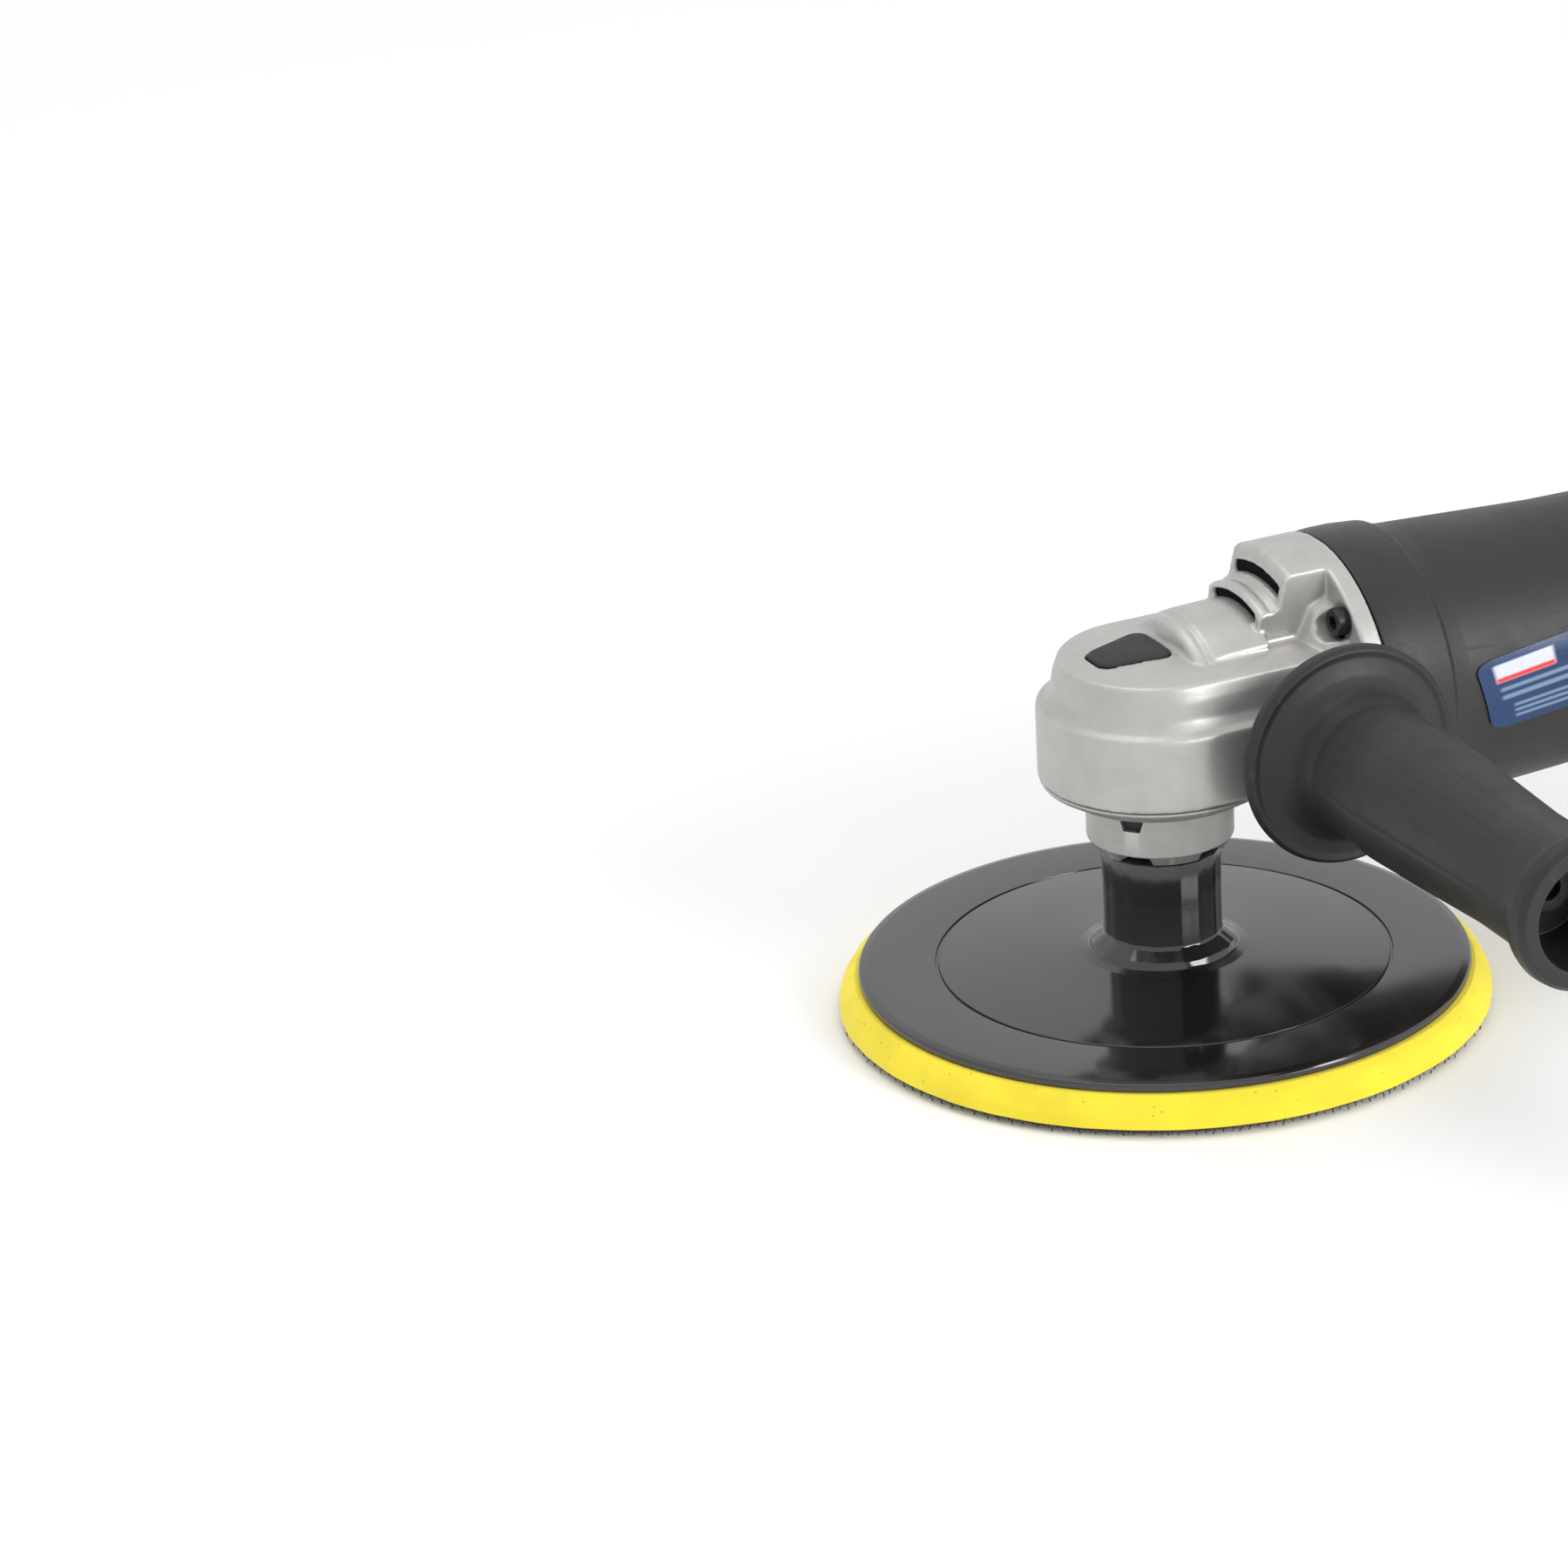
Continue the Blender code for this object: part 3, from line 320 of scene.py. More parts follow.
machined_steel = finish("machined_steel", (0.56, 0.56, 0.57), 0.26, 1.0, grain=0.25, depth=0.008, drift=0.05,
                        mottle=6.0, smudge=0.12, edge=(0.75, 0.75, 0.76))
blackened_steel = finish("blackened_steel", (0.020, 0.020, 0.021), 0.40, 0.4, grain=0.3, depth=0.012,
                         drift=0.2, mottle=4.0, edge=(0.16, 0.16, 0.17), edge_amount=0.6)
core_steel = finish("core_steel", (0.34, 0.35, 0.37), 0.42, 1.0, grain=0.5, mottle=7.0)
wound_copper = finish("wound_copper", (0.66, 0.29, 0.14), 0.30, 1.0, grain=0.5, depth=0.05, drift=0.18,
                      mottle=5.0)
turned_brass = finish("turned_brass", (0.74, 0.56, 0.26), 0.30, 1.0, grain=0.3, depth=0.01, drift=0.08,
                      mottle=5.0)
brush_carbon = finish("brush_carbon", (0.05, 0.05, 0.052), 0.62, 0.1, grain=0.25, depth=0.03, drift=0.2,
                      mottle=3.0, pits=0.15, pit_size=0.5)
# painted shade, partly the dark air guide: near black and almost without shine, for the strips in the vent
# slots
vent_shade_black = finish("vent_shade_black", (0.004, 0.004, 0.004), 0.8, grain=0.5, depth=0.03, drift=0.3, mottle=4.0,
                    shader={"Specular IOR Level": 0.08})
black_rubber = finish("black_rubber", (0.020, 0.020, 0.021), 0.62, grain=0.3, depth=0.03, drift=0.15,
                      mottle=6.0)
foam_yellow = finish("foam_yellow", (0.88, 0.72, 0.035), 0.92, grain=0.5, depth=0.16, drift=0.07, mottle=18.0,
                     smudge=0.03, scratch=0.0, pits=0.10, pit_size=0.75,
                     shader={"Sheen Weight": 0.15, "Sheen Roughness": 0.5})
hook_pile = finish("hook_pile", (0.045, 0.040, 0.038), 0.8, grain=0.4, depth=0.05, drift=0.3, mottle=5.0)
print("finishes", len(bpy.data.materials))

# %% [markdown]
# ### Label film
# The side labels are printed plastic film: a deep blue ground, a pale badge block with a red foot and a
# few pale bars where a maker would print its particulars. They are laid out on the label's own UV map
# with simple box masks, so no picture file is needed, and nothing on them can be read.

# %% Label film finish
# Boxes are (left, right, low, high) in the label's UV square.
STRIPES = ((0.10, 0.93, 0.53, 0.58), (0.10, 0.55, 0.41, 0.47), (0.16, 0.88, 0.27, 0.31),
           (0.16, 0.80, 0.19, 0.23), (0.16, 0.84, 0.11, 0.15))
STRIPE_COLOUR, STRIPE_STRENGTH = (0.32, 0.46, 0.64), 0.5
BLOCKS = (((0.09, 0.44, 0.66, 0.90), (0.62, 0.64, 0.78)),  # the pale badge
          ((0.09, 0.44, 0.66, 0.72), (0.72, 0.03, 0.03)),  # its red foot
          ((0.60, 0.92, 0.70, 0.86), (0.10, 0.30, 0.60)))  # the light blue panel


def box_mask(tree, across, along, left, right, low, high, soft=0.012):
    """One inside a box of the UV square and zero outside, with a soft edge."""
    sides = []
    for value, start, end in ((across, left, right), (along, low, high)):
        sides.append(rescale(tree, value, start - soft, start + soft))
        sides.append(rescale(tree, value, end + soft, end - soft))
    mask = sides[0]
    for side in sides[1:]:
        mask = sums(tree, 'MULTIPLY', mask, side)
    return mask


label_film, label_shader = shader_material("label_film")
tree = label_film.node_tree
uv = add(tree, 'ShaderNodeTexCoord').outputs["UV"]
across, along = add(tree, 'ShaderNodeSeparateXYZ', {0: uv}).outputs[:2]
skin = place_group(tree, grain_group, Grain_Size=0.4, Mottle_Size=18.0)
marks = place_group(tree, wear_group, Scratch_Size=2.0, Smudge_Size=16.0)
ground = blend_colours(tree, across, (0.002, 0.032, 0.120), (0.004, 0.020, 0.075))
ground = blend_colours(tree, sums(tree, 'MULTIPLY', skin["Mottle"], 0.25), ground, (0.004, 0.045, 0.14))
for box in STRIPES:
    stripe = sums(tree, 'MULTIPLY', box_mask(tree, across, along, *box), STRIPE_STRENGTH)
    ground = blend_colours(tree, stripe, ground, STRIPE_COLOUR)
for box, colour in BLOCKS:
    ground = blend_colours(tree, box_mask(tree, across, along, *box), ground, colour)
tree.links.new(ground, label_shader.inputs["Base Color"])
rough = sums(tree, 'MULTIPLY_ADD', marks["Smudges"], 0.12, 0.24)
tree.links.new(sums(tree, 'MULTIPLY_ADD', marks["Scratches"], 0.15, rough), label_shader.inputs["Roughness"])
ripple = add(tree, 'ShaderNodeBump', {"Height": skin["Height"], "Distance": 0.006 * MM, "Strength": 1.0})
tree.links.new(ripple.outputs["Normal"], label_shader.inputs["Normal"])

# %% [markdown]
# ## Ways of making a piece
# Nearly everything on this tool was turned, moulded round an axis, cut from an outline or cast. Four
# helpers cover that: `lathe` spins a profile whose corners may carry fillets, `slab` extrudes an
# outline and rounds its edges, `carve` subtracts or joins solids, and `cast` melts a rough assembly of
# solids into one skin with soft edges, as a sand casting has. `keep` then gives a piece its finish,
# its body and the frame piece it stands for.

# %% Filleted profiles
def filleted(corners):
    """Points of a closed outline. A corner is (a, b) or (a, b, radius), and a radius rounds it."""
    points = []
    for i, corner in enumerate(corners):
        here = Vector(corner[:2])
        before = Vector(corners[i - 1][:2]) - here
        after = Vector(corners[(i + 1) % len(corners)][:2]) - here
        radius = corner[2] if len(corner) > 2 else 0.0
        if radius <= 0.0:
            points.append(here)
            continue
        half = before.angle(after) / 2
        reach = min(radius / math.tan(half), 0.49 * before.length, 0.49 * after.length)
        radius = reach * math.tan(half)
        before.normalize()
        after.normalize()
        middle = here + (before + after).normalized() * radius / math.sin(half)
        start = here + before * reach - middle
        end = here + after * reach - middle
        sweep = math.atan2(start.x * end.y - start.y * end.x, start.dot(end))
        steps = max(3, int(abs(sweep) / math.radians(11)) + 1)
        for k in range(steps + 1):
            t = sweep * k / steps
            points.append(middle + Vector((start.x * math.cos(t) - start.y * math.sin(t),
                                           start.x * math.sin(t) + start.y * math.cos(t))))
    return points


# %% Making, carving and casting solids
def solid(name, bm):
    """A mesh object from millimetres, with its faces pointing out."""
    bmesh.ops.recalc_face_normals(bm, faces=bm.faces)
    bmesh.ops.scale(bm, vec=(MM, MM, MM), verts=bm.verts)
    mesh = bpy.data.meshes.new(name)
    bm.to_mesh(mesh)
    bm.free()
    made = bpy.data.objects.new(name, mesh)
    bpy.context.scene.collection.objects.link(made)
    return made


def join_rings(bm, rings):
    """Faces from each ring of points to the next, and a cap at both ends."""
    for ring, other in zip(rings, rings[1:]):
        for i in range(len(ring)):
            k = (i + 1) % len(ring)
            bm.faces.new((ring[i], ring[k], other[k], other[i]))
    bm.faces.new(rings[0])
    bm.faces.new(rings[-1])


def lathe(name, corners, along='Z', at=(0, 0, 0), steps=144, wave=None):
    """A closed outline of (radius, distance) spun round an axis; wave may move each point."""
    outline = filleted(corners)
    bm = bmesh.new()
    rings = []
    for radius, far in outline:
        ring = []
        for i in range(1 if radius < 1e-6 else steps):
            angle = 2 * math.pi * i / steps
            r, h = wave(radius, far, angle) if wave and radius > 1e-6 else (radius, far)
            u, v = r * math.cos(angle), r * math.sin(angle)
            spot = {'Z': (u, v, h), 'X': (h, u, v), 'Y': (u, h, v)}[along]
            ring.append(bm.verts.new(Vector(spot) + Vector(at)))
        rings.append(ring)
    for i, ring in enumerate(rings):
        other = rings[(i + 1) % len(rings)]
        if len(ring) == 1 and len(other) == 1:
            continue
        for k in range(steps):
            quad = [ring[k % len(ring)], ring[(k + 1) % len(ring)], other[(k + 1) % len(other)],
                    other[k % len(other)]]
            bm.faces.new(list(dict.fromkeys(quad)))
    return solid(name, bm)


def slab(name, corners, low, high, normal='Z', at=(0, 0, 0), round_by=0.0, shape=None):
    """An outline extruded from low to high, its rims rounded; shape may bend the points."""
    outline = filleted(corners)
    bm = bmesh.new()
    levels = [(low, 0.0), (high, 0.0)]
    if round_by:
        curve = [(round_by * (1 - math.cos(a)), round_by * (1 - math.sin(a)))
                 for a in (i * math.pi / 8 for i in range(5))]
        levels = [(low + d, inset) for d, inset in curve]
        levels += [(high - d, inset) for d, inset in reversed(curve)]
    count = len(outline)
    turning = sum(outline[i].x * outline[(i + 1) % count].y - outline[i].y * outline[(i + 1) % count].x
                  for i in range(count))
    side = 1.0 if turning > 0 else -1.0
    rings = []
    for level, inset in levels:
        ring = []
        for i, point in enumerate(outline):
            tangent = (outline[(i + 1) % count] - outline[i - 1]).normalized()
            a, b = point + Vector((-tangent.y, tangent.x)) * inset * side
            spot = {'Z': (a, b, level), 'Y': (a, level, b), 'X': (level, a, b)}[normal]
            spot = Vector(shape(*spot) if shape else spot)
            ring.append(bm.verts.new(spot + Vector(at)))
        rings.append(ring)
    join_rings(bm, rings)
    return solid(name, bm)


def rod(name, radius, start, end, sides=64):
    """A plain round bar between two points, used as a tool or a core."""
    start, end = Vector(start), Vector(end)
    bm = bmesh.new()
    bmesh.ops.create_cone(bm, cap_ends=True, segments=sides, radius1=radius, radius2=radius,
                          depth=(end - start).length)
    turn = (end - start).to_track_quat('Z', 'Y').to_matrix().to_4x4()
    bmesh.ops.transform(bm, matrix=Matrix.Translation((start + end) / 2) @ turn, verts=bm.verts)
    return solid(name, bm)


def bar(name, low, high):
    """A square-edged bar between two corners, used as a tool or a core."""
    bm = bmesh.new()
    bmesh.ops.create_cube(bm, size=1.0)
    low, high = Vector(low), Vector(high)
    for v in bm.verts:
        v.co = [low[i] if v.co[i] < 0 else high[i] for i in range(3)]
    return solid(name, bm)


def settle(obj):
    """obj with its modifiers made final."""
    bpy.context.view_layer.update()
    seen = obj.evaluated_get(bpy.context.evaluated_depsgraph_get())
    mesh = bpy.data.meshes.new_from_object(seen)
    obj.modifiers.clear()
    obj.data = mesh
    return obj


def carve(obj, tools, operation='DIFFERENCE'):
    """Each tool is taken from or joined to obj, and is used up."""
    for tool in tools:
        step = obj.modifiers.new(tool.name, 'BOOLEAN')
        step.operation = operation
        step.solver = 'MANIFOLD'
        step.object = tool
    settle(obj)
    for tool in tools:
        bpy.data.objects.remove(tool)
    return obj


def cast(obj, grid, soften):
    """obj rebuilt as one even skin on a fine grid, its edges softened."""
    skin = obj.modifiers.new("skin", 'REMESH')
    skin.mode = 'VOXEL'
    skin.voxel_size = grid * MM
    ease = obj.modifiers.new("ease", 'SMOOTH')
    ease.factor = 0.5
    ease.iterations = soften
    return settle(obj)


def keep(obj, look, body="housing", instead_of=(), crease=38.0):
    """A finished piece: its material, shading, body and the frame pieces it stands for."""
    obj.data.materials.clear()
    obj.data.materials.append(look)
    obj.data.shade_smooth()
    if crease:
        obj.data.set_sharp_from_angle(angle=math.radians(crease))
    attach(obj, body)
    if instead_of:
        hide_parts(*instead_of)
    print(obj.name, len(obj.data.polygons), "faces on", body)
    return obj


# %% [markdown]
# ## Sizes shared by several pieces
# The spindle stands on the origin and the motor lies along X, a fixed height above the floor. Names
# that end in _R are radii. A screw's place is given across the axis that it runs along.

# %% Shared sizes
MOTOR_Z = 82.0
HEAD_R = 32.4
FLANGE_R = 41.2
BARREL = ((75.0, 38.5), (122.0, 36.1), (165.0, 35.6))  # radii at distances along the motor
BOSS_X, BOSS_Z, BOSS_FACE = 33.0, 80.5, 41.4
LOCK_X = -11.2  # the spindle lock pin
BRUSH_X = 139.0
GLAND_Z = 74.6
LOCK_ON = (236.0, 0, 74.0)
CASE_SCREWS = [(side * 22.7, lift * 26.2) for lift in (1, -1) for side in (-1, 1)]
COVER_SCREWS = [(23.3 * math.cos(math.radians(a)), 23.3 * math.sin(math.radians(a)))
                for a in (45, 135, 225, 315)]
FAN_R = 31.6
SHELL_SCREWS = ((180.0, 98.0, 29.0), (217.0, 95.0, 21.8), (322.0, 60.0, 22.0))  # x, z and the post's reach
print("screws", len(CASE_SCREWS) + len(COVER_SCREWS) + len(SHELL_SCREWS))

# %% [markdown]
# ## The gear case
# The gear case is one aluminium casting: a round head over the spindle that runs back into a flange,
# with a stepped arch on top that holds two vent slots, bosses for the side handle, and a pocket for the
# spindle lock button. The arch, its ledge and the slots are turned round the motor axis and trimmed at
# the sides. Castings have no sharp corners, so the separate solids are joined, cut and then
# rebuilt on a fine grid. That costs many faces, but gives every corner the small fillet that catches
# the light. The gear chamber inside is cut out too, since the gears turn in it.

# %% Head of the gear case
CROWN_TOP, CROWN_BEND = 103.6, 0.0044
ARCH_FOOT = 97.0


def crown(radius):
    """Height of the gently domed top of the head."""
    return CROWN_TOP - CROWN_BEND * radius * radius


def run_back(name, corners, end, steps=72):
    """A half-round head profile that runs straight back to x = end, as a closed solid."""
    outline = filleted(corners)
    rings = []
    bm = bmesh.new()
    for radius, z in outline:
        path = [(end, -radius)]
        path += [(radius * math.cos(a), radius * math.sin(a))
                 for a in (-math.pi / 2 - math.pi * i / steps for i in range(steps + 1))]
        path.append((end, radius))
        rings.append([bm.verts.new((x, y, z)) for x, y in path])
    join_rings(bm, rings)
    return solid(name, bm)


def sector(name, profile, half, steps=320):
    """A form turned round the motor axis, kept above the head and within half on either side."""
    form = lathe(name, profile, 'X', (0, 0, MOTOR_Z), steps)
    carve(form, [bar(name + "_trim", (-8.0, -half, ARCH_FOOT), (60.0, half, 130.0))], 'INTERSECT')
    return form


head = run_back("gear_case",
                [(10.0, crown(10.0)), (20.0, crown(20.0)), (26.2, crown(26.0), 1.4), (27.6, 96.5, 6.0),
                 (28.4, 91.5, 3.0), (30.4, 88.8, 1.2), (32.0, 88.2, 0.8), (HEAD_R, 87.0, 0.6),
                 (HEAD_R, 67.6), (10.0, 67.6)], 45.0)
ledge = sector("ledge",
               [(0, 1.6), (19.0, 1.6), (26.4, 3.4, 0.8), (27.3, 5.6, 0.5), (26.7, 6.8, 0.4),
                (27.7, 8.2, 0.6), (28.0, 12.0, 1.5), (28.3, 25.0), (0, 25.0)], 18.0)
arch = sector("arch",
              [(0, 22.6), (28.0, 23.6), (31.4, 23.8, 0.6), (32.3, 25.0, 0.6), (32.5, 27.0, 0.3),
               (32.0, 27.6, 0.3), (32.8, 28.6, 0.3), (33.3, 30.0, 0.4), (36.8, 30.9), (40.2, 31.9, 0.8),
               (FLANGE_R, 33.2, 0.8), (FLANGE_R, 46.0), (0, 46.0)], 14.5)
body_cone = lathe("body_cone", [(0, 33.5), (24.0, 33.5), (32.0, 39.0, 2.0), (35.0, 47.0), (0, 47.0)],
                  'X', (0, 0, MOTOR_Z))
flange = lathe("flange", [(0, 44.2), (FLANGE_R - 0.2, 44.2, 0.5), (FLANGE_R, 49.9, 0.3), (0, 49.9)],
               'X', (0, 0, MOTOR_Z))
bosses = lathe("bosses",
               [(0, -BOSS_FACE), (12.8, -BOSS_FACE, 0.8), (12.8, -34.0), (16.0, -27.0), (16.0, 27.0),
                (12.8, 34.0), (12.8, BOSS_FACE, 0.8), (0, BOSS_FACE)], 'Y', (BOSS_X, 0, BOSS_Z))
carve(head, [ledge, arch, body_cone, flange, bosses], 'UNION')
print("head joined", len(head.data.polygons), "faces")

# %% Chambers, vents and pockets
def button_outline(grow):
    """The lock button from above: a rounded wedge, wide towards the motor."""
    return [(-18.6 - grow, -5.4 - grow, 4.0), (0.8 + grow, -10.2 - grow, 3.6), (0.8 + grow, 10.2 + grow, 3.6),
            (-18.6 - grow, 5.4 + grow, 4.0)]


chamber = lathe("chamber",
                [(0, 95.9), (7.3, 95.9), (7.3, 88.6), (20.8, 88.6), (20.8, 60.0), (0, 60.0)], steps=64)
tunnel = lathe("tunnel", [(0, 12.0), (8.5, 12.0), (8.5, 33.7), (16.05, 33.7), (16.05, 44.4), (FAN_R, 44.4),
                          (FAN_R, 51.0), (0, 51.0)], 'X', (0, 0, MOTOR_Z), 64)
tools = [chamber, tunnel,
         sector("vent_low", [(28.2, 20.5), (30.6, 20.5), (30.6, 29.0), (28.2, 29.0)], 11.8),
         sector("vent_high", [(33.8, 28.0), (37.0, 28.0), (37.0, 37.0), (33.8, 37.0)], 12.3),
         slab("pocket", button_outline(0.45), 97.4, 112.0),
         rod("pin_guide", 1.85, (LOCK_X, 0, 86.0), (LOCK_X, 0, 98.0)),
         rod("spring_seat", 3.5, (LOCK_X, 0, 93.4), (LOCK_X, 0, 98.0))]
tools += [rod("handle_bore", 4.2, (BOSS_X, s * 22.0, BOSS_Z), (BOSS_X, s * 45.0, BOSS_Z)) for s in (-1, 1)]
for name, radius, front, rear in (("screw_recess", 4.9, 33.0, 45.0), ("screw_bore", 2.3, 44.0, 52.0)):
    tools += [rod(name, radius, (front, y, MOTOR_Z + z), (rear, y, MOTOR_Z + z)) for y, z in CASE_SCREWS]
tools += [rod("cover_bore", 1.9, (x, y, 60.0), (x, y, 78.0)) for x, y in COVER_SCREWS]
carve(head, tools)
print("head carved", len(head.data.polygons), "faces")
cast(head, grid=0.55, soften=4)
keep(head, cast_aluminium, "housing", ["gear_housing"], crease=0)

# %% [markdown]
# Behind each vent slot sits the dark air guide, and the slot's depth lies in shade. Each slot gets a
# strip of the same curve, set a little way in, near black and almost shineless: partly the guide, partly
# painted shade.

# %% Dark strips in the vents, partly air guide and partly painted shade
for label, front, low, high in (("vent_shade_strip_low", 24.9, 28.0, 31.2), ("vent_shade_strip_high", 31.7, 33.5, 37.3)):
    strip = sector(label, [(low, front), (high, front), (high, front + 3.0), (low, front + 3.0)], 12.6)
    keep(strip, vent_shade_black, "housing")

# %% [markdown]
# ## The bearing cover
# Under the head a turned cover holds the spindle bearing. It narrows in one step to the neck, whose
# lower rim has five shallow notches for the fitter's wrench, and a small drain slot in front. The
# notches are made by the lathe itself: the wave function lifts the rim where a notch is.

# %% Bearing cover
FIRST_NOTCH = 220.0  # degrees; the drain slot is above it
NOTCH_TOP = 49.6
NOTCH_LIFT = 2.6


def notched(radius, height, angle):
    """The neck's rim, lifted by a notch every 72 degrees."""
    if height > NOTCH_TOP or radius < 12.0:
        return radius, height
    turn = ((angle - math.radians(FIRST_NOTCH) + math.radians(36)) % math.radians(72)) - math.radians(36)
    lift = NOTCH_LIFT * min(1.0, max(0.0, (math.radians(16.0) - abs(turn)) / math.radians(3.0)))
    return radius, height + lift * (NOTCH_TOP - height) / 3.0


cover = lathe("neck_cover",
              [(9.0, 64.0), (17.0, 64.0), (17.0, 69.3), (20.4, 69.3), (20.4, 67.3), (HEAD_R - 0.1, 67.3, 0.5),
               (31.6, 65.9, 1.0), (26.2, 62.7, 0.8), (20.2, 62.5, 1.0), (19.9, 60.4), (19.9, 49.7, 1.0),
               (17.9, 46.7, 0.5), (11.0, 46.7), (11.0, 50.3), (16.2, 50.3), (16.2, 61.9), (9.0, 61.9)],
              steps=240, wave=notched)
slot_tool = slab("slot_tool", [(-3.4, 60.0), (3.4, 60.0), (2.4, 56.8), (-2.4, 56.8)], 12.0, 24.0, 'Y')
slot_tool.rotation_euler.z = math.radians(FIRST_NOTCH - 90.0)
tools = [rod("shank", 2.0, (x, y, 60.0), (x, y, 72.0)) for x, y in COVER_SCREWS]
tools += [rod("sink", 3.1, (x, y, 60.0), (x, y, 64.9)) for x, y in COVER_SCREWS]
carve(cover, [slot_tool] + tools)
keep(cover, cast_aluminium, "housing", ["bearing_cover"])
# painted shade: a dark plug set a little way into the drain slot stands in for the shade behind it
slot_shade = slab("drain_slot_shade", [(-3.6, 60.2), (3.6, 60.2), (3.6, 56.6), (-3.6, 56.6)],
                 17.0, 18.4, 'Y', round_by=0.3)
slot_shade.rotation_euler.z = math.radians(FIRST_NOTCH - 90.0)
keep(slot_shade, soft_black, "housing")

# %% [markdown]
# ## The backing plate and its hub
# The plate is one glossy moulding. Its hub is lightly fluted for the fingers, which shows as soft
# upright streaks, and flares out where it meets the disc. A ring groove is turned in the top.

# %% Backing plate
FLUTES = 16
FLUTE_DEPTH = 0.24
HUB_FOOT = 17.0


def fluted(radius, height, angle):
    """Shallow finger flutes round the hub and its flare."""
    if height < HUB_FOOT or radius < 14.0:
        return radius, height
    depth = FLUTE_DEPTH * (1.0 - abs(math.sin(angle * FLUTES / 2)) ** 1.6)
    return radius - depth * min(1.0, (height - HUB_FOOT) / 2.0), height


plate = lathe("backing_plate_gloss",
              [(0, 17.4), (11.8, 17.4), (11.8, 46.0, 0.4), (16.2, 46.0, 0.9), (16.1, 40.0), (16.0, 30.0),
               (16.0, 21.4, 1.6), (19.6, 18.8, 0.8), (20.2, 17.0, 0.9), (23.0, 16.3, 2.0), (40.0, 15.0),
               (60.9, 13.55, 0.15), (61.1, 12.9, 0.1), (61.7, 12.9, 0.1), (61.9, 13.5, 0.15),
               (80.4, 12.9, 1.5), (82.4, 12.5, 0.5), (82.8, 11.9, 0.4), (82.8, 10.5, 0.2), (0, 10.5)],
              steps=320, wave=fluted)
keep(plate, plate_black, "spindle_and_pad", ["backing_plate"])

# %% [markdown]
# ## The foam pad
# The pad is cut from open-celled foam: straight-sided with a slight flare, its edges crisp but not
# sharp. A turned solid is cut by a wire with small wobbles, so the side is rippled by a fraction of a
# millimetre; the cells themselves are in the finish.

# %% Foam
FOAM_SIDE = 60.0  # only points further out than this are on the side


def wobble(radius, height, angle):
    """The uneven cut of the foam's side."""
    if radius < FOAM_SIDE:
        return radius, height
    ripple = 0.10 * math.sin(7 * angle + 0.8) + 0.06 * math.sin(19 * angle + height)
    ripple += 0.04 * math.sin(43 * angle)
    return radius + ripple, height


foam = lathe("foam_pad",
             [(0, 10.2), (40.0, 10.2), (83.9, 10.2, 0.5), (85.4, 9.0, 1.5), (86.5, 7.8), (88.0, 5.0, 3.0),
              (88.35, 2.05, 0.3), (40.0, 2.05), (0, 2.05)], steps=320, wave=wobble)
keep(foam, foam_yellow, "spindle_and_pad", ["pad_foam"])

# %% [markdown]
# The working face is hook tape: a thin woven base with thousands of small bent hooks that grip the
# polishing bonnet. Each hook is a short tapered post with a bent tip. They stand on a sunflower
# spiral, which spreads them evenly with no visible rows, each turned its own way by a seeded draw.

# %% Hook layer
HOOKS = 5200
FIELD_R = 88.0
# Each level of a hook is a share of its length, a sideways bend and half a thickness.
HOOK_SHAPE = ((0.0, 0.0, 0.16), (0.6, 0.04, 0.12), (1.0, 0.28, 0.10), (0.72, 0.50, 0.05))

base = lathe("hook_base",
             [(0, 1.75), (60.0, 1.75), (87.0, 1.75, 0.2), (87.1, 1.3, 0.2), (60.0, 1.05), (0, 1.05)],
             steps=240)
bm = bmesh.new()
draw = np.random.default_rng(7)
for i in range(HOOKS):
    reach = FIELD_R * math.sqrt((i + 0.5) / HOOKS)
    turn = i * math.pi * (3 - math.sqrt(5))  # the golden angle
    foot = Vector((reach * math.cos(turn), reach * math.sin(turn), 1.1))
    lean = draw.uniform(0, 2 * math.pi)
    way = Vector((math.cos(lean), math.sin(lean), 0.0))
    across = Vector((-way.y, way.x, 0.0))
    tall = draw.uniform(0.85, 1.06)
    rings = []
    for share, bend, thick in HOOK_SHAPE:
        centre = foot + way * bend - Vector((0, 0, share * tall))
        rings.append([bm.verts.new(centre + way * (a * thick) + across * (b * thick))
                      for a, b in ((1, 1), (-1, 1), (-1, -1), (1, -1))])
    join_rings(bm, rings)
hooks = solid("hook_field", bm)
keep(base, hook_pile, "spindle_and_pad", ["hook_layer"])
keep(hooks, hook_pile, "spindle_and_pad", crease=60.0)

# %% [markdown]
# ## The lock button
# The spindle lock button lies in its pocket nearly flush with the domed head. Its own top follows the
# dome, so it is an outline slab whose top is bent by the same rule as the head.

# %% Lock button
BUTTON_TOP = 104.4
BUTTON_PROUD = 0.55


def follow_crown(x, y, z):
    """Points near the top are lifted to follow the head's dome."""
    if z < 102.0:
        return x, y, z
    return x, y, z - BUTTON_TOP + crown(math.hypot(x, y)) + BUTTON_PROUD


button = slab("lock_button", button_outline(0.0), 101.0, BUTTON_TOP, round_by=0.7, shape=follow_crown)
bm = bmesh.new()
bm.from_mesh(button.data)
bmesh.ops.poke(bm, faces=[f for f in bm.faces if len(f.verts) > 4])
bm.to_mesh(button.data)
bm.free()
keep(button, soft_black, "lock_plunger", ["spindle_lock_button"])

# %% [markdown]
# ## The motor housing
# A glass-filled nylon barrel. It starts at the casting as a slightly larger collar, steps down over a
# soft crease and then tapers very gently towards the handle. Round doors on both sides hold the brush
# caps. The real one is moulded in a two-part tool, so a faint parting line runs along each side.

# %% Motor housing
LINE_HEIGHT, LINE_WIDTH = 0.10, 0.25


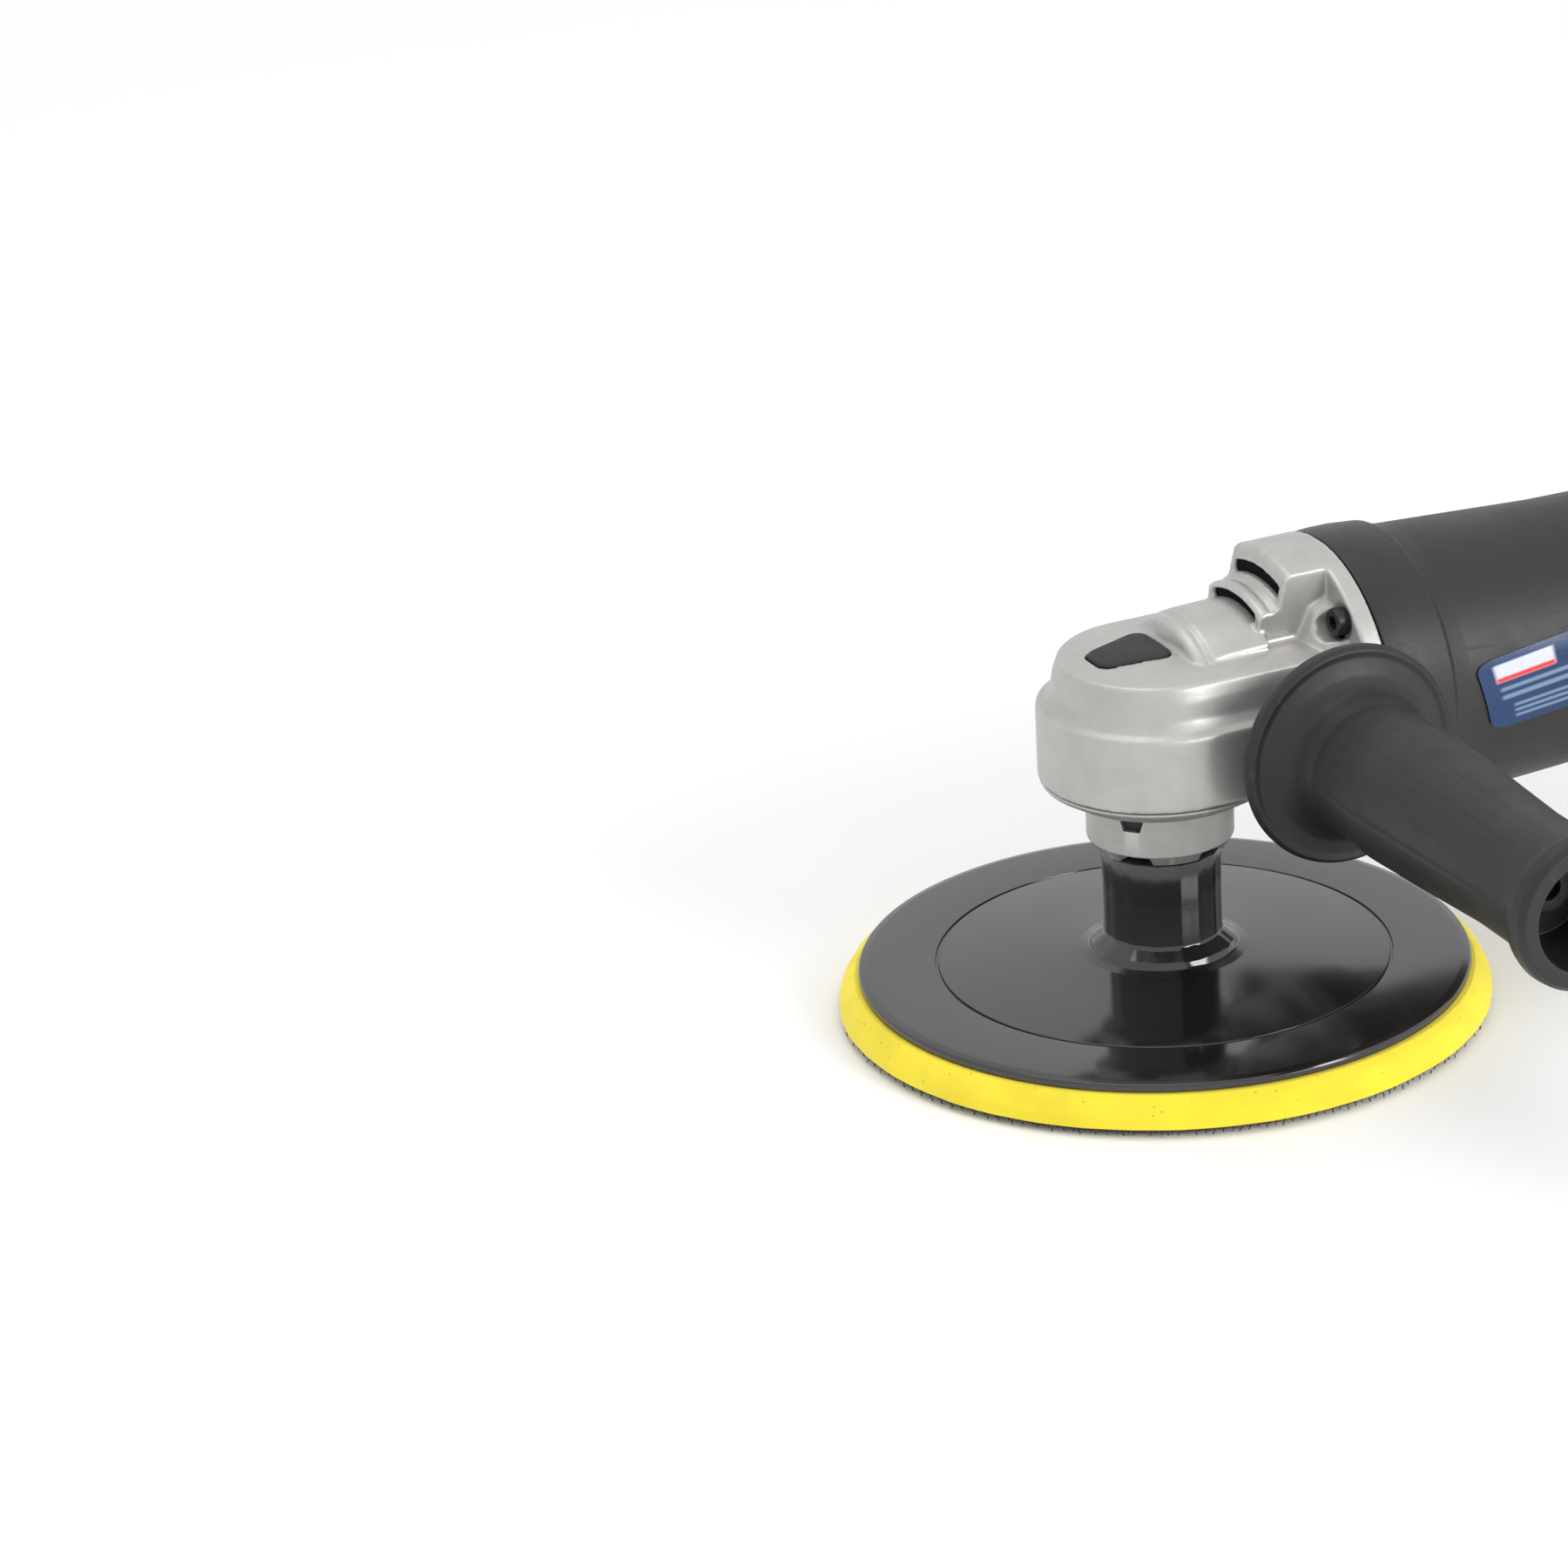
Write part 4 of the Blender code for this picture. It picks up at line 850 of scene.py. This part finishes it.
def parting(radius, height, angle):
    """A hair-fine parting line on each side of the barrel."""
    away = abs(math.sin(angle)) * radius
    if radius > 35.0 and abs(math.cos(angle)) > 0.5:
        radius += LINE_HEIGHT * math.exp(-(away / LINE_WIDTH) ** 2)
    return radius, height


front, waist, rear = BARREL
barrel = lathe("motor_barrel",
               [(40.8, 50.3, 0.5), (41.2, 55.0, 3.0), (41.2, 61.0, 3.0), (40.6, 68.4, 0.6), (39.2, 69.8, 0.8),
                (front[1], front[0], 4.0), (waist[1], waist[0], 20.0), (rear[1], rear[0] - 0.2, 0.5),
                (4.6, 165.0), (4.6, 160.4), (11.0, 160.4), (11.0, 149.6), (14.0, 149.6), (14.0, 157.0),
                (33.6, 157.0), (33.6, 66.0), (FAN_R, 66.0), (FAN_R, 50.3)],
               'X', (0, 0, MOTOR_Z), 360, wave=parting)
tools = [rod("thread", 2.3, (48.0, y, MOTOR_Z + z), (62.5, y, MOTOR_Z + z)) for y, z in CASE_SCREWS]
tools += [rod("door", 8.4, (BRUSH_X, s * 28.0, MOTOR_Z), (BRUSH_X, s * 45.0, MOTOR_Z)) for s in (-1, 1)]
tools += [bar("wire_window", (155.0, s * 22.0 - 5.0, 72.0), (170.0, s * 22.0 + 5.0, 92.0)) for s in (-1, 1)]
carve(barrel, tools)
keep(barrel, moulded_black, "housing", ["motor_housing"])

# %% Brush caps
CAP = ((0, 33.6), (8.0, 33.6), (8.0, 36.5, 0.7), (6.6, 36.6, 0.3), (6.2, 36.0, 0.2), (0, 36.0))
for side, word in ((-1, "left"), (1, "right")):
    cap = lathe(f"brush_door_{word}", [(radius, side * far, *fillet) for radius, far, *fillet in CAP],
                'Y', (BRUSH_X, 0, MOTOR_Z), 72)
    carve(cap, [bar("coin_slot", (BRUSH_X - 5.2, side * 35.4 - 0.7, MOTOR_Z - 0.8),
                    (BRUSH_X + 5.2, side * 36.2 + 0.7, MOTOR_Z + 0.8))])
    keep(cap, moulded_black, "housing", [f"brush_cap_{word}"])

# %% [markdown]
# ## The labels
# Each label is a rounded film that wraps part of the barrel. Its outline leans a little, so it is laid
# out as a grid in label space, bent round the barrel, and its corners are drawn in along a rounded
# outline. The same grid gives the UV map that the print uses.

# %% Side labels
COLUMNS, ROWS = 56, 40
CORNER = 0.10  # of the label's length
FILM_START, FILM_LENGTH, FILM_LEAN = 76.0, 56.0, 5.0
TOP_ANGLE, BOTTOM_ANGLE = 73.0, 102.0  # degrees round the barrel from its top
FILM_LIFT, FILM_THICK = 0.32, 0.25


def label_piece(name, side, node):
    """A curved film with rounded corners and a UV map."""
    bm = bmesh.new()
    uv_layer = bm.loops.layers.uv.new("print")
    grid = {}
    for i in range(COLUMNS + 1):
        for j in range(ROWS + 1):
            u, v = i / COLUMNS, j / ROWS
            pull = 0.0
            near = min(v, 1 - v) / (CORNER * 1.4)
            if near < 1.0:
                pull = CORNER * (1 - math.sqrt(1 - (1 - near) ** 2))
            s = pull + (1 - 2 * pull) * u
            x = FILM_START + FILM_LEAN * v + (FILM_LENGTH - 8.0 * v) * s
            radius = float(np.interp(x, *zip(*BARREL))) + FILM_LIFT
            angle = math.radians((TOP_ANGLE - 10.0 * s) * (1 - v) + (BOTTOM_ANGLE - 5.0 * s) * v)
            spot = (x, side * radius * math.sin(angle), MOTOR_Z + radius * math.cos(angle))
            grid[i, j] = bm.verts.new(spot), (s if side < 0 else 1 - s, 1 - v)
    for i in range(COLUMNS):
        for j in range(ROWS):
            keys = ((i, j), (i + 1, j), (i + 1, j + 1), (i, j + 1))
            face = bm.faces.new([grid[k][0] for k in (keys if side > 0 else keys[::-1])])
            for loop in face.loops:
                loop[uv_layer].uv = next(grid[k][1] for k in keys if grid[k][0] == loop.vert)
    film = solid(name, bm)
    thick = film.modifiers.new("thick", 'SOLIDIFY')
    thick.thickness = FILM_THICK * MM
    thick.offset = 1.0
    settle(film)
    return keep(film, label_film, "housing", [node])


label_piece("film_left", -1, "label_left")
label_piece("film_right", 1, "label_right")

# %% [markdown]
# ## The side handle
# The side handle is one moulding turned about its own axis: a dished guard, a barrel that swells for
# the palm and an end collar round a deep recess. Fine lines run along the grip where the mould's
# inserts met, made by the lathe's wave.

# %% Side handle
FACE = BOSS_FACE + 0.3
OUTSIDE = ((4.3, 0.0), (27.6, 0.0, 0.6), (29.6, 0.6, 1.0), (30.3, 2.2, 1.2), (30.4, 4.2, 1.2),
           (29.2, 5.6, 0.8), (27.4, 5.2, 1.5), (23.2, 6.6, 5.0), (19.8, 9.6, 6.0), (18.3, 17.0, 8.0),
           (18.4, 24.0, 10.0), (19.3, 38.0, 30.0), (18.5, 60.0, 30.0), (17.0, 92.0, 20.0),
           (17.2, 117.0, 3.0), (20.3, 120.4, 2.0), (20.9, 123.0, 2.0), (20.6, 126.4, 1.5))
RECESS = [(19.2, -170.0, 0.8), (15.2, -170.0, 0.8), (14.8, -167.0), (14.8, -144.0, 0.5), (4.3, -144.0)]


LINES_FROM, LINES_TO = 58.0, 158.0


def gripped(radius, far, angle):
    """Faint lengthwise lines on the grip, fading out at both ends."""
    if radius < 15.5 or not LINES_FROM < -far < LINES_TO:
        return radius, far
    fade = min(1.0, (-far - LINES_FROM) / 10.0, (LINES_TO + far) / 8.0)
    return radius - 0.14 * fade * max(0.0, math.cos(angle * 14)) ** 6, far


handle = lathe("side_grip", [(radius, -FACE - far, *fillet) for radius, far, *fillet in OUTSIDE] + RECESS,
               'Y', (BOSS_X, 0, BOSS_Z), 252, wave=gripped)
keep(handle, grip_black, "housing", ["side_handle_grip"])

# %% [markdown]
# ## Screws and the handle stud
# Every screw is a cylinder-head machine screw: a rounded rim, a hexagon socket and a threaded shank.
# A single helper makes them all. The thread is a wave on the lathe, which is a ring pattern and not a
# true helix, but at this size nothing tells them apart.

# %% Screws
PITCH = 0.7
SOCKET_DEPTH = 0.42  # of the head's height


def machine_screw(name, at, direction, head, tall, shank, length, node):
    """A socket screw whose head's seat is at a point and whose shank runs along a direction."""
    points = [(0, -tall * SOCKET_DEPTH), (head * 0.5, -tall * SOCKET_DEPTH), (head * 0.52, -tall, 0.12),
              (head, -tall, 0.5), (head, 0, 0.1), (shank, 0), (shank, 1.0)]
    for i in range(int((length - 1.5) / PITCH)):
        points += [(shank * 0.86, 1.2 + i * PITCH), (shank, 1.55 + i * PITCH)]
    points += [(shank * 0.8, length), (0, length)]

    def six_sided(radius, far, angle):
        """The socket's wall, moved out from a circle to a hexagon."""
        if abs(radius - head * 0.51) < head * 0.03 and far < 0:
            turn = (angle + math.pi / 6) % (math.pi / 3) - math.pi / 6
            return radius * 0.9 / math.cos(turn), far
        return radius, far

    piece = lathe(name, points, 'Z', (0, 0, 0), 48, wave=six_sided)
    piece.rotation_euler = Vector(direction).to_track_quat('Z', 'Y').to_euler()
    piece.location = Vector(at) * MM
    bpy.context.view_layer.update()
    piece.data.transform(piece.matrix_world)
    piece.matrix_world = Matrix.Identity(4)
    return keep(piece, blackened_steel, "housing", [node])


for i, (y, z) in enumerate(CASE_SCREWS, 1):
    machine_screw(f"case_screw_{i}", (45.0, y, MOTOR_Z + z), (1, 0, 0), 3.8, 3.6, 2.0, 16.0,
                  f"gear_case_screw_{i}")
for i, (x, y) in enumerate(COVER_SCREWS, 1):
    machine_screw(f"neck_screw_{i}", (x, y, 64.8), (0, 0, 1), 2.7, 2.0, 1.5, 11.0, f"cover_screw_{i}")
for i, (x, z, _) in enumerate(SHELL_SCREWS, 1):
    machine_screw(f"shell_screw_{i}", (x, -17.3, z), (0, 1, 0), 3.2, 2.4, 1.4, 29.0, f"handle_screw_{i}")

# %% Handle stud
def threaded(radius, far, angle):
    """Rings of thread near the stud's tip."""
    if radius < 3.0 or not -41.0 < far < -24.8:
        return radius, far
    return radius - 0.25 * abs(math.sin(far * math.pi / 1.25)), far


tip = [(0, -24.0), (3.2, -24.0)] + [(3.9, -24.9 - 0.3 * i) for i in range(54)]
bolt_head = [(3.9, -144.3), (6.8, -144.3), (6.8, -149.0, 0.6), (3.4, -149.0), (3.4, -146.4), (0, -146.4)]
stud = lathe("handle_bolt", tip + bolt_head, 'Y', (BOSS_X, 0, BOSS_Z), 48, wave=threaded)
# the dark finish is partly the stud's own blackened steel and partly painted shade, so the deep recess round
# its head reads dark
keep(stud, blackened_steel, "housing", ["side_handle_stud"])

# %% [markdown]
# ## The rear handle
# Two moulded shells meet on the tool's middle plane. Their form is lofted through oval sections that
# narrow behind the motor and swell again at the end. Each shell is one side of that form. Soft rubber
# is moulded over the part that the palm holds: here it is a thin skin that follows the same sections,
# with a raised rim and small finger ribs underneath.

# %% Handle form
# Each station is a distance along X, a half width, a half height and the height of the middle.
STATIONS = ((165.3, 36.0, 36.0, 82.0), (170.0, 35.7, 36.1, 81.95), (174.0, 35.0, 35.9, 81.8),
            (180.0, 33.3, 34.9, 81.5), (188.0, 31.0, 33.5, 81.0), (196.0, 28.8, 31.3, 80.3),
            (206.0, 27.0, 29.5, 79.5), (222.0, 25.6, 28.1, 78.6), (240.0, 24.9, 27.4, 77.8),
            (265.0, 24.6, 27.5, 77.0), (290.0, 24.8, 27.9, 76.2), (312.0, 25.4, 29.2, 75.4),
            (334.0, 26.0, 30.6, 74.8), (339.0, 25.2, 29.9, 74.7), (342.0, 23.6, 28.4, 74.6),
            (344.2, 20.6, 25.6, 74.6), (345.0, 17.0, 22.0, 74.6))
SEAM = 0.15  # each shell stops this far from the middle plane
ROUNDNESS = 0.88  # 1 would make the sections true ovals


def section_at(x):
    """Half width, half height and middle height of the handle at a distance along it."""
    xs = [s[0] for s in STATIONS]
    return [float(np.interp(x, xs, [s[k] for s in STATIONS])) for k in (1, 2, 3)]


def half_ring(x, half, inset, steps=40, start=0.0, end=math.pi):
    """Points round one side of a section, from its top to its bottom."""
    wide, high, middle = section_at(x)
    ring = []
    for i in range(steps + 1):
        a = start + (end - start) * i / steps
        s, c = math.sin(a), math.cos(a)
        y = (wide - inset) * abs(s) ** ROUNDNESS
        z = (high - inset) * math.copysign(abs(c) ** ROUNDNESS, c)
        ring.append((x, half * max(y, 0.0) + half * SEAM, middle + z))
    return ring


def loft(name, rings):
    """A closed solid through rings with the same number of points."""
    bm = bmesh.new()
    join_rings(bm, [[bm.verts.new(p) for p in ring] for ring in rings])
    bmesh.ops.remove_doubles(bm, verts=bm.verts, dist=1e-5)
    return solid(name, bm)


def along_handle(front, rear):
    """Distances along the handle, closer together near its end."""
    inner = list(np.arange(167.0, 338.0, 4.0)) + [339.0, 340.5, 342.0, 343.2, 344.2, 344.7]
    return [front] + [x for x in inner if front + 0.4 < x < rear - 0.2] + [rear]


# %% Handle shells
for half, word in ((-1, "left"), (1, "right")):
    shell = loft(f"rear_shell_{word}", [half_ring(x, half, 0.0) for x in along_handle(165.3, 345.0)])
    hollow = loft("hollow", [half_ring(x, half, 2.6) for x in along_handle(163.4, 342.4)])
    hollow.location.y = -half * 0.5 * MM
    carve(shell, [hollow])
    posts = [rod("post", 4.0, (x, half * SEAM, z), (x, half * reach, z)) for x, z, reach in SHELL_SCREWS]
    carve(shell, posts, 'UNION')
    bore, deep = (1.9, 40.0) if half < 0 else (1.7, 16.0)
    tools = [rod("bore", bore, (x, -half * 1.0, z), (x, half * deep, z)) for x, z, _ in SHELL_SCREWS]
    tools += [bar("trigger_window", (221.0, -8.6, 40.0), (287.0, 8.6, 62.0)),
              bar("dial_window", (185.5, -4.4, 100.0), (210.5, 4.4, 120.0)),
              rod("gland_hole", 8.2, (330.0, 0, GLAND_Z), (350.0, 0, GLAND_Z))]
    if half < 0:
        tools += [rod("sink", 3.6, (x, -17.0, z), (x, -40.0, z)) for x, z, _ in SHELL_SCREWS]
        tools.append(rod("lock_hole", 5.6, (LOCK_ON[0], -18.0, LOCK_ON[2]), (LOCK_ON[0], -32.0, LOCK_ON[2])))
    carve(shell, tools)
    keep(shell, moulded_black, "housing", [f"handle_shell_{word}"], crease=30.0)

# %% Palm rubber
SKIN_START, SKIN_LENGTH = 246.0, 84.0
RIM, RIB = 0.55, 0.12  # how far the skin and its ribs stand out


def palm_skin(name, half):
    """A thin rubber skin on the side of the grip, with rounded ends and fine ribs."""
    bm = bmesh.new()
    columns, rows = 96, 36
    grid = []
    for i in range(columns + 1):
        t = i / columns
        x = SKIN_START + SKIN_LENGTH * t
        squeeze = math.sqrt(max(0.0, 1 - abs(2 * t - 1) ** 6)) * 0.92 + 0.08
        low, high = math.radians(90 - 46 * squeeze), math.radians(90 + 52 * squeeze)
        ring = []
        for j in range(rows + 1):
            a = low + (high - low) * j / rows
            edge = min(j, rows - j, i * 0.7, (columns - i) * 0.7) / 3.0
            on_rib = math.sin(x * math.pi / 2.2) > 0.1 and edge > 1.0
            lift = RIM * min(1.0, max(0.0, edge)) + (RIB if on_rib else 0.0)
            ring.append(bm.verts.new(half_ring(x, half, -lift, 1, a, a)[0]))
        grid.append(ring)
    for ring, other in zip(grid, grid[1:]):
        for j in range(rows):
            bm.faces.new((ring[j], ring[j + 1], other[j + 1], other[j]))
    skin = solid(name, bm)
    thick = skin.modifiers.new("thick", 'SOLIDIFY')
    thick.thickness = 0.3 * MM
    thick.offset = 0.0
    settle(skin)
    return keep(skin, soft_black, "housing")


palm_skin("palm_rubber_left", -1)
palm_skin("palm_rubber_right", 1)

# %% [markdown]
# ## Trigger, lock-on button, speed dial and cable gland
# The trigger is an outline slab with well rounded rims and finger ridges. The other controls are
# turned. The speed dial's ribs are once more a wave on the lathe.

# %% Trigger
PIVOT = (226.0, 60.0)
lever = [(-3.4, -3.0, 1.0), (-1.5, -9.0, 3.0), (5.0, -16.0, 4.0), (14.0, -18.6, 6.0), (30.0, -17.4, 8.0),
         (46.0, -18.4, 8.0), (55.0, -16.6, 4.0), (58.6, -11.0, 2.5), (58.6, -3.4, 1.0), (44.0, 0.6, 4.0),
         (3.0, 3.6, 1.0), (-3.4, 3.0, 1.0)]
trigger = slab("trigger_lever_skin", lever, -7.8, 7.8, 'Y', (PIVOT[0], 0, PIVOT[1]), round_by=2.0)
carve(trigger, [rod("pin_bore", 1.7, (PIVOT[0], -12, PIVOT[1]), (PIVOT[0], 12, PIVOT[1]))])
keep(trigger, moulded_black, "trigger_lever", ["trigger"])

# %% Lock-on button, dial and gland
def ribbed(radius, far, angle):
    """Grip ribs round the speed dial."""
    if radius < 10.0:
        return radius, far
    return radius - 0.7 * max(0.0, math.cos(angle * 28)) ** 0.6, far


latch = lathe("lock_on_cap",
              [(0, -12.2), (5.2, -12.2), (5.2, -27.0, 0.4), (4.6, -28.3, 0.8), (3.0, -28.1), (0, -27.7)],
              'Y', LOCK_ON, 72)
keep(latch, soft_black, "lock_on", ["lock_on_button"])
dial = lathe("thumb_dial",
             [(2.2, -3.6), (11.0, -3.6), (12.0, -3.0, 0.4), (12.0, 3.0, 0.4), (11.0, 3.6), (2.2, 3.6)],
             'Y', (198.0, 0, 104.0), 224, wave=ribbed)
keep(dial, soft_black, "dial", ["speed_dial"])
gland = lathe("gland_sleeve",
              [(4.3, 330.0), (11.0, 330.0), (11.0, 341.6), (7.8, 341.6), (7.8, 343.6, 0.3), (7.1, 344.2, 0.3),
               (7.1, 345.2, 0.3), (7.6, 345.8, 0.3), (7.5, 347.2, 0.3), (6.8, 347.8, 0.3), (6.8, 348.8, 0.3),
               (7.2, 349.4, 0.3), (6.6, 352.0, 0.8), (4.3, 352.0, 0.4)], 'X', (0, 0, GLAND_Z), 96)
keep(gland, black_rubber, "housing", ["cord_gland"])

# %% [markdown]
# ## The working pieces inside
# The gears, bearings, armature, field coils and springs keep the shapes that the frame gives them.
# Each one only takes the finish that fits it: its record slot says what it is made of.

# %% Finishes for the frame's own pieces
BY_SLOT = {"cast_aluminium": cast_aluminium, "black_nylon": moulded_black, "gloss_nylon": plate_black,
           "yellow_foam": foam_yellow, "hook_fabric": hook_pile, "rubber": black_rubber,
           "steel": machined_steel, "dark_steel": blackened_steel, "lamination_steel": core_steel,
           "copper": wound_copper, "brass": turned_brass, "carbon": brush_carbon, "label_film": label_film}
subparts = frame["record"]["subparts"]
for row in subparts:
    materials = nodes[row["node"]].data.materials
    materials.clear()
    materials.append(BY_SLOT[row["material_slot"]])
print(len(subparts), "frame pieces dressed")

# %% [markdown]
# ## Finish
# The boxes of the frame and of the dressed tool are compared, and the largest difference at each corner is
# printed.

# %% Sizes and finish
dressed_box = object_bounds()
growth = [max(abs(a - b) for a, b in zip(*corners)) / MM for corners in zip(cad_box, dressed_box)]
print("differ by at most", [round(g, 2) for g in growth], "mm")
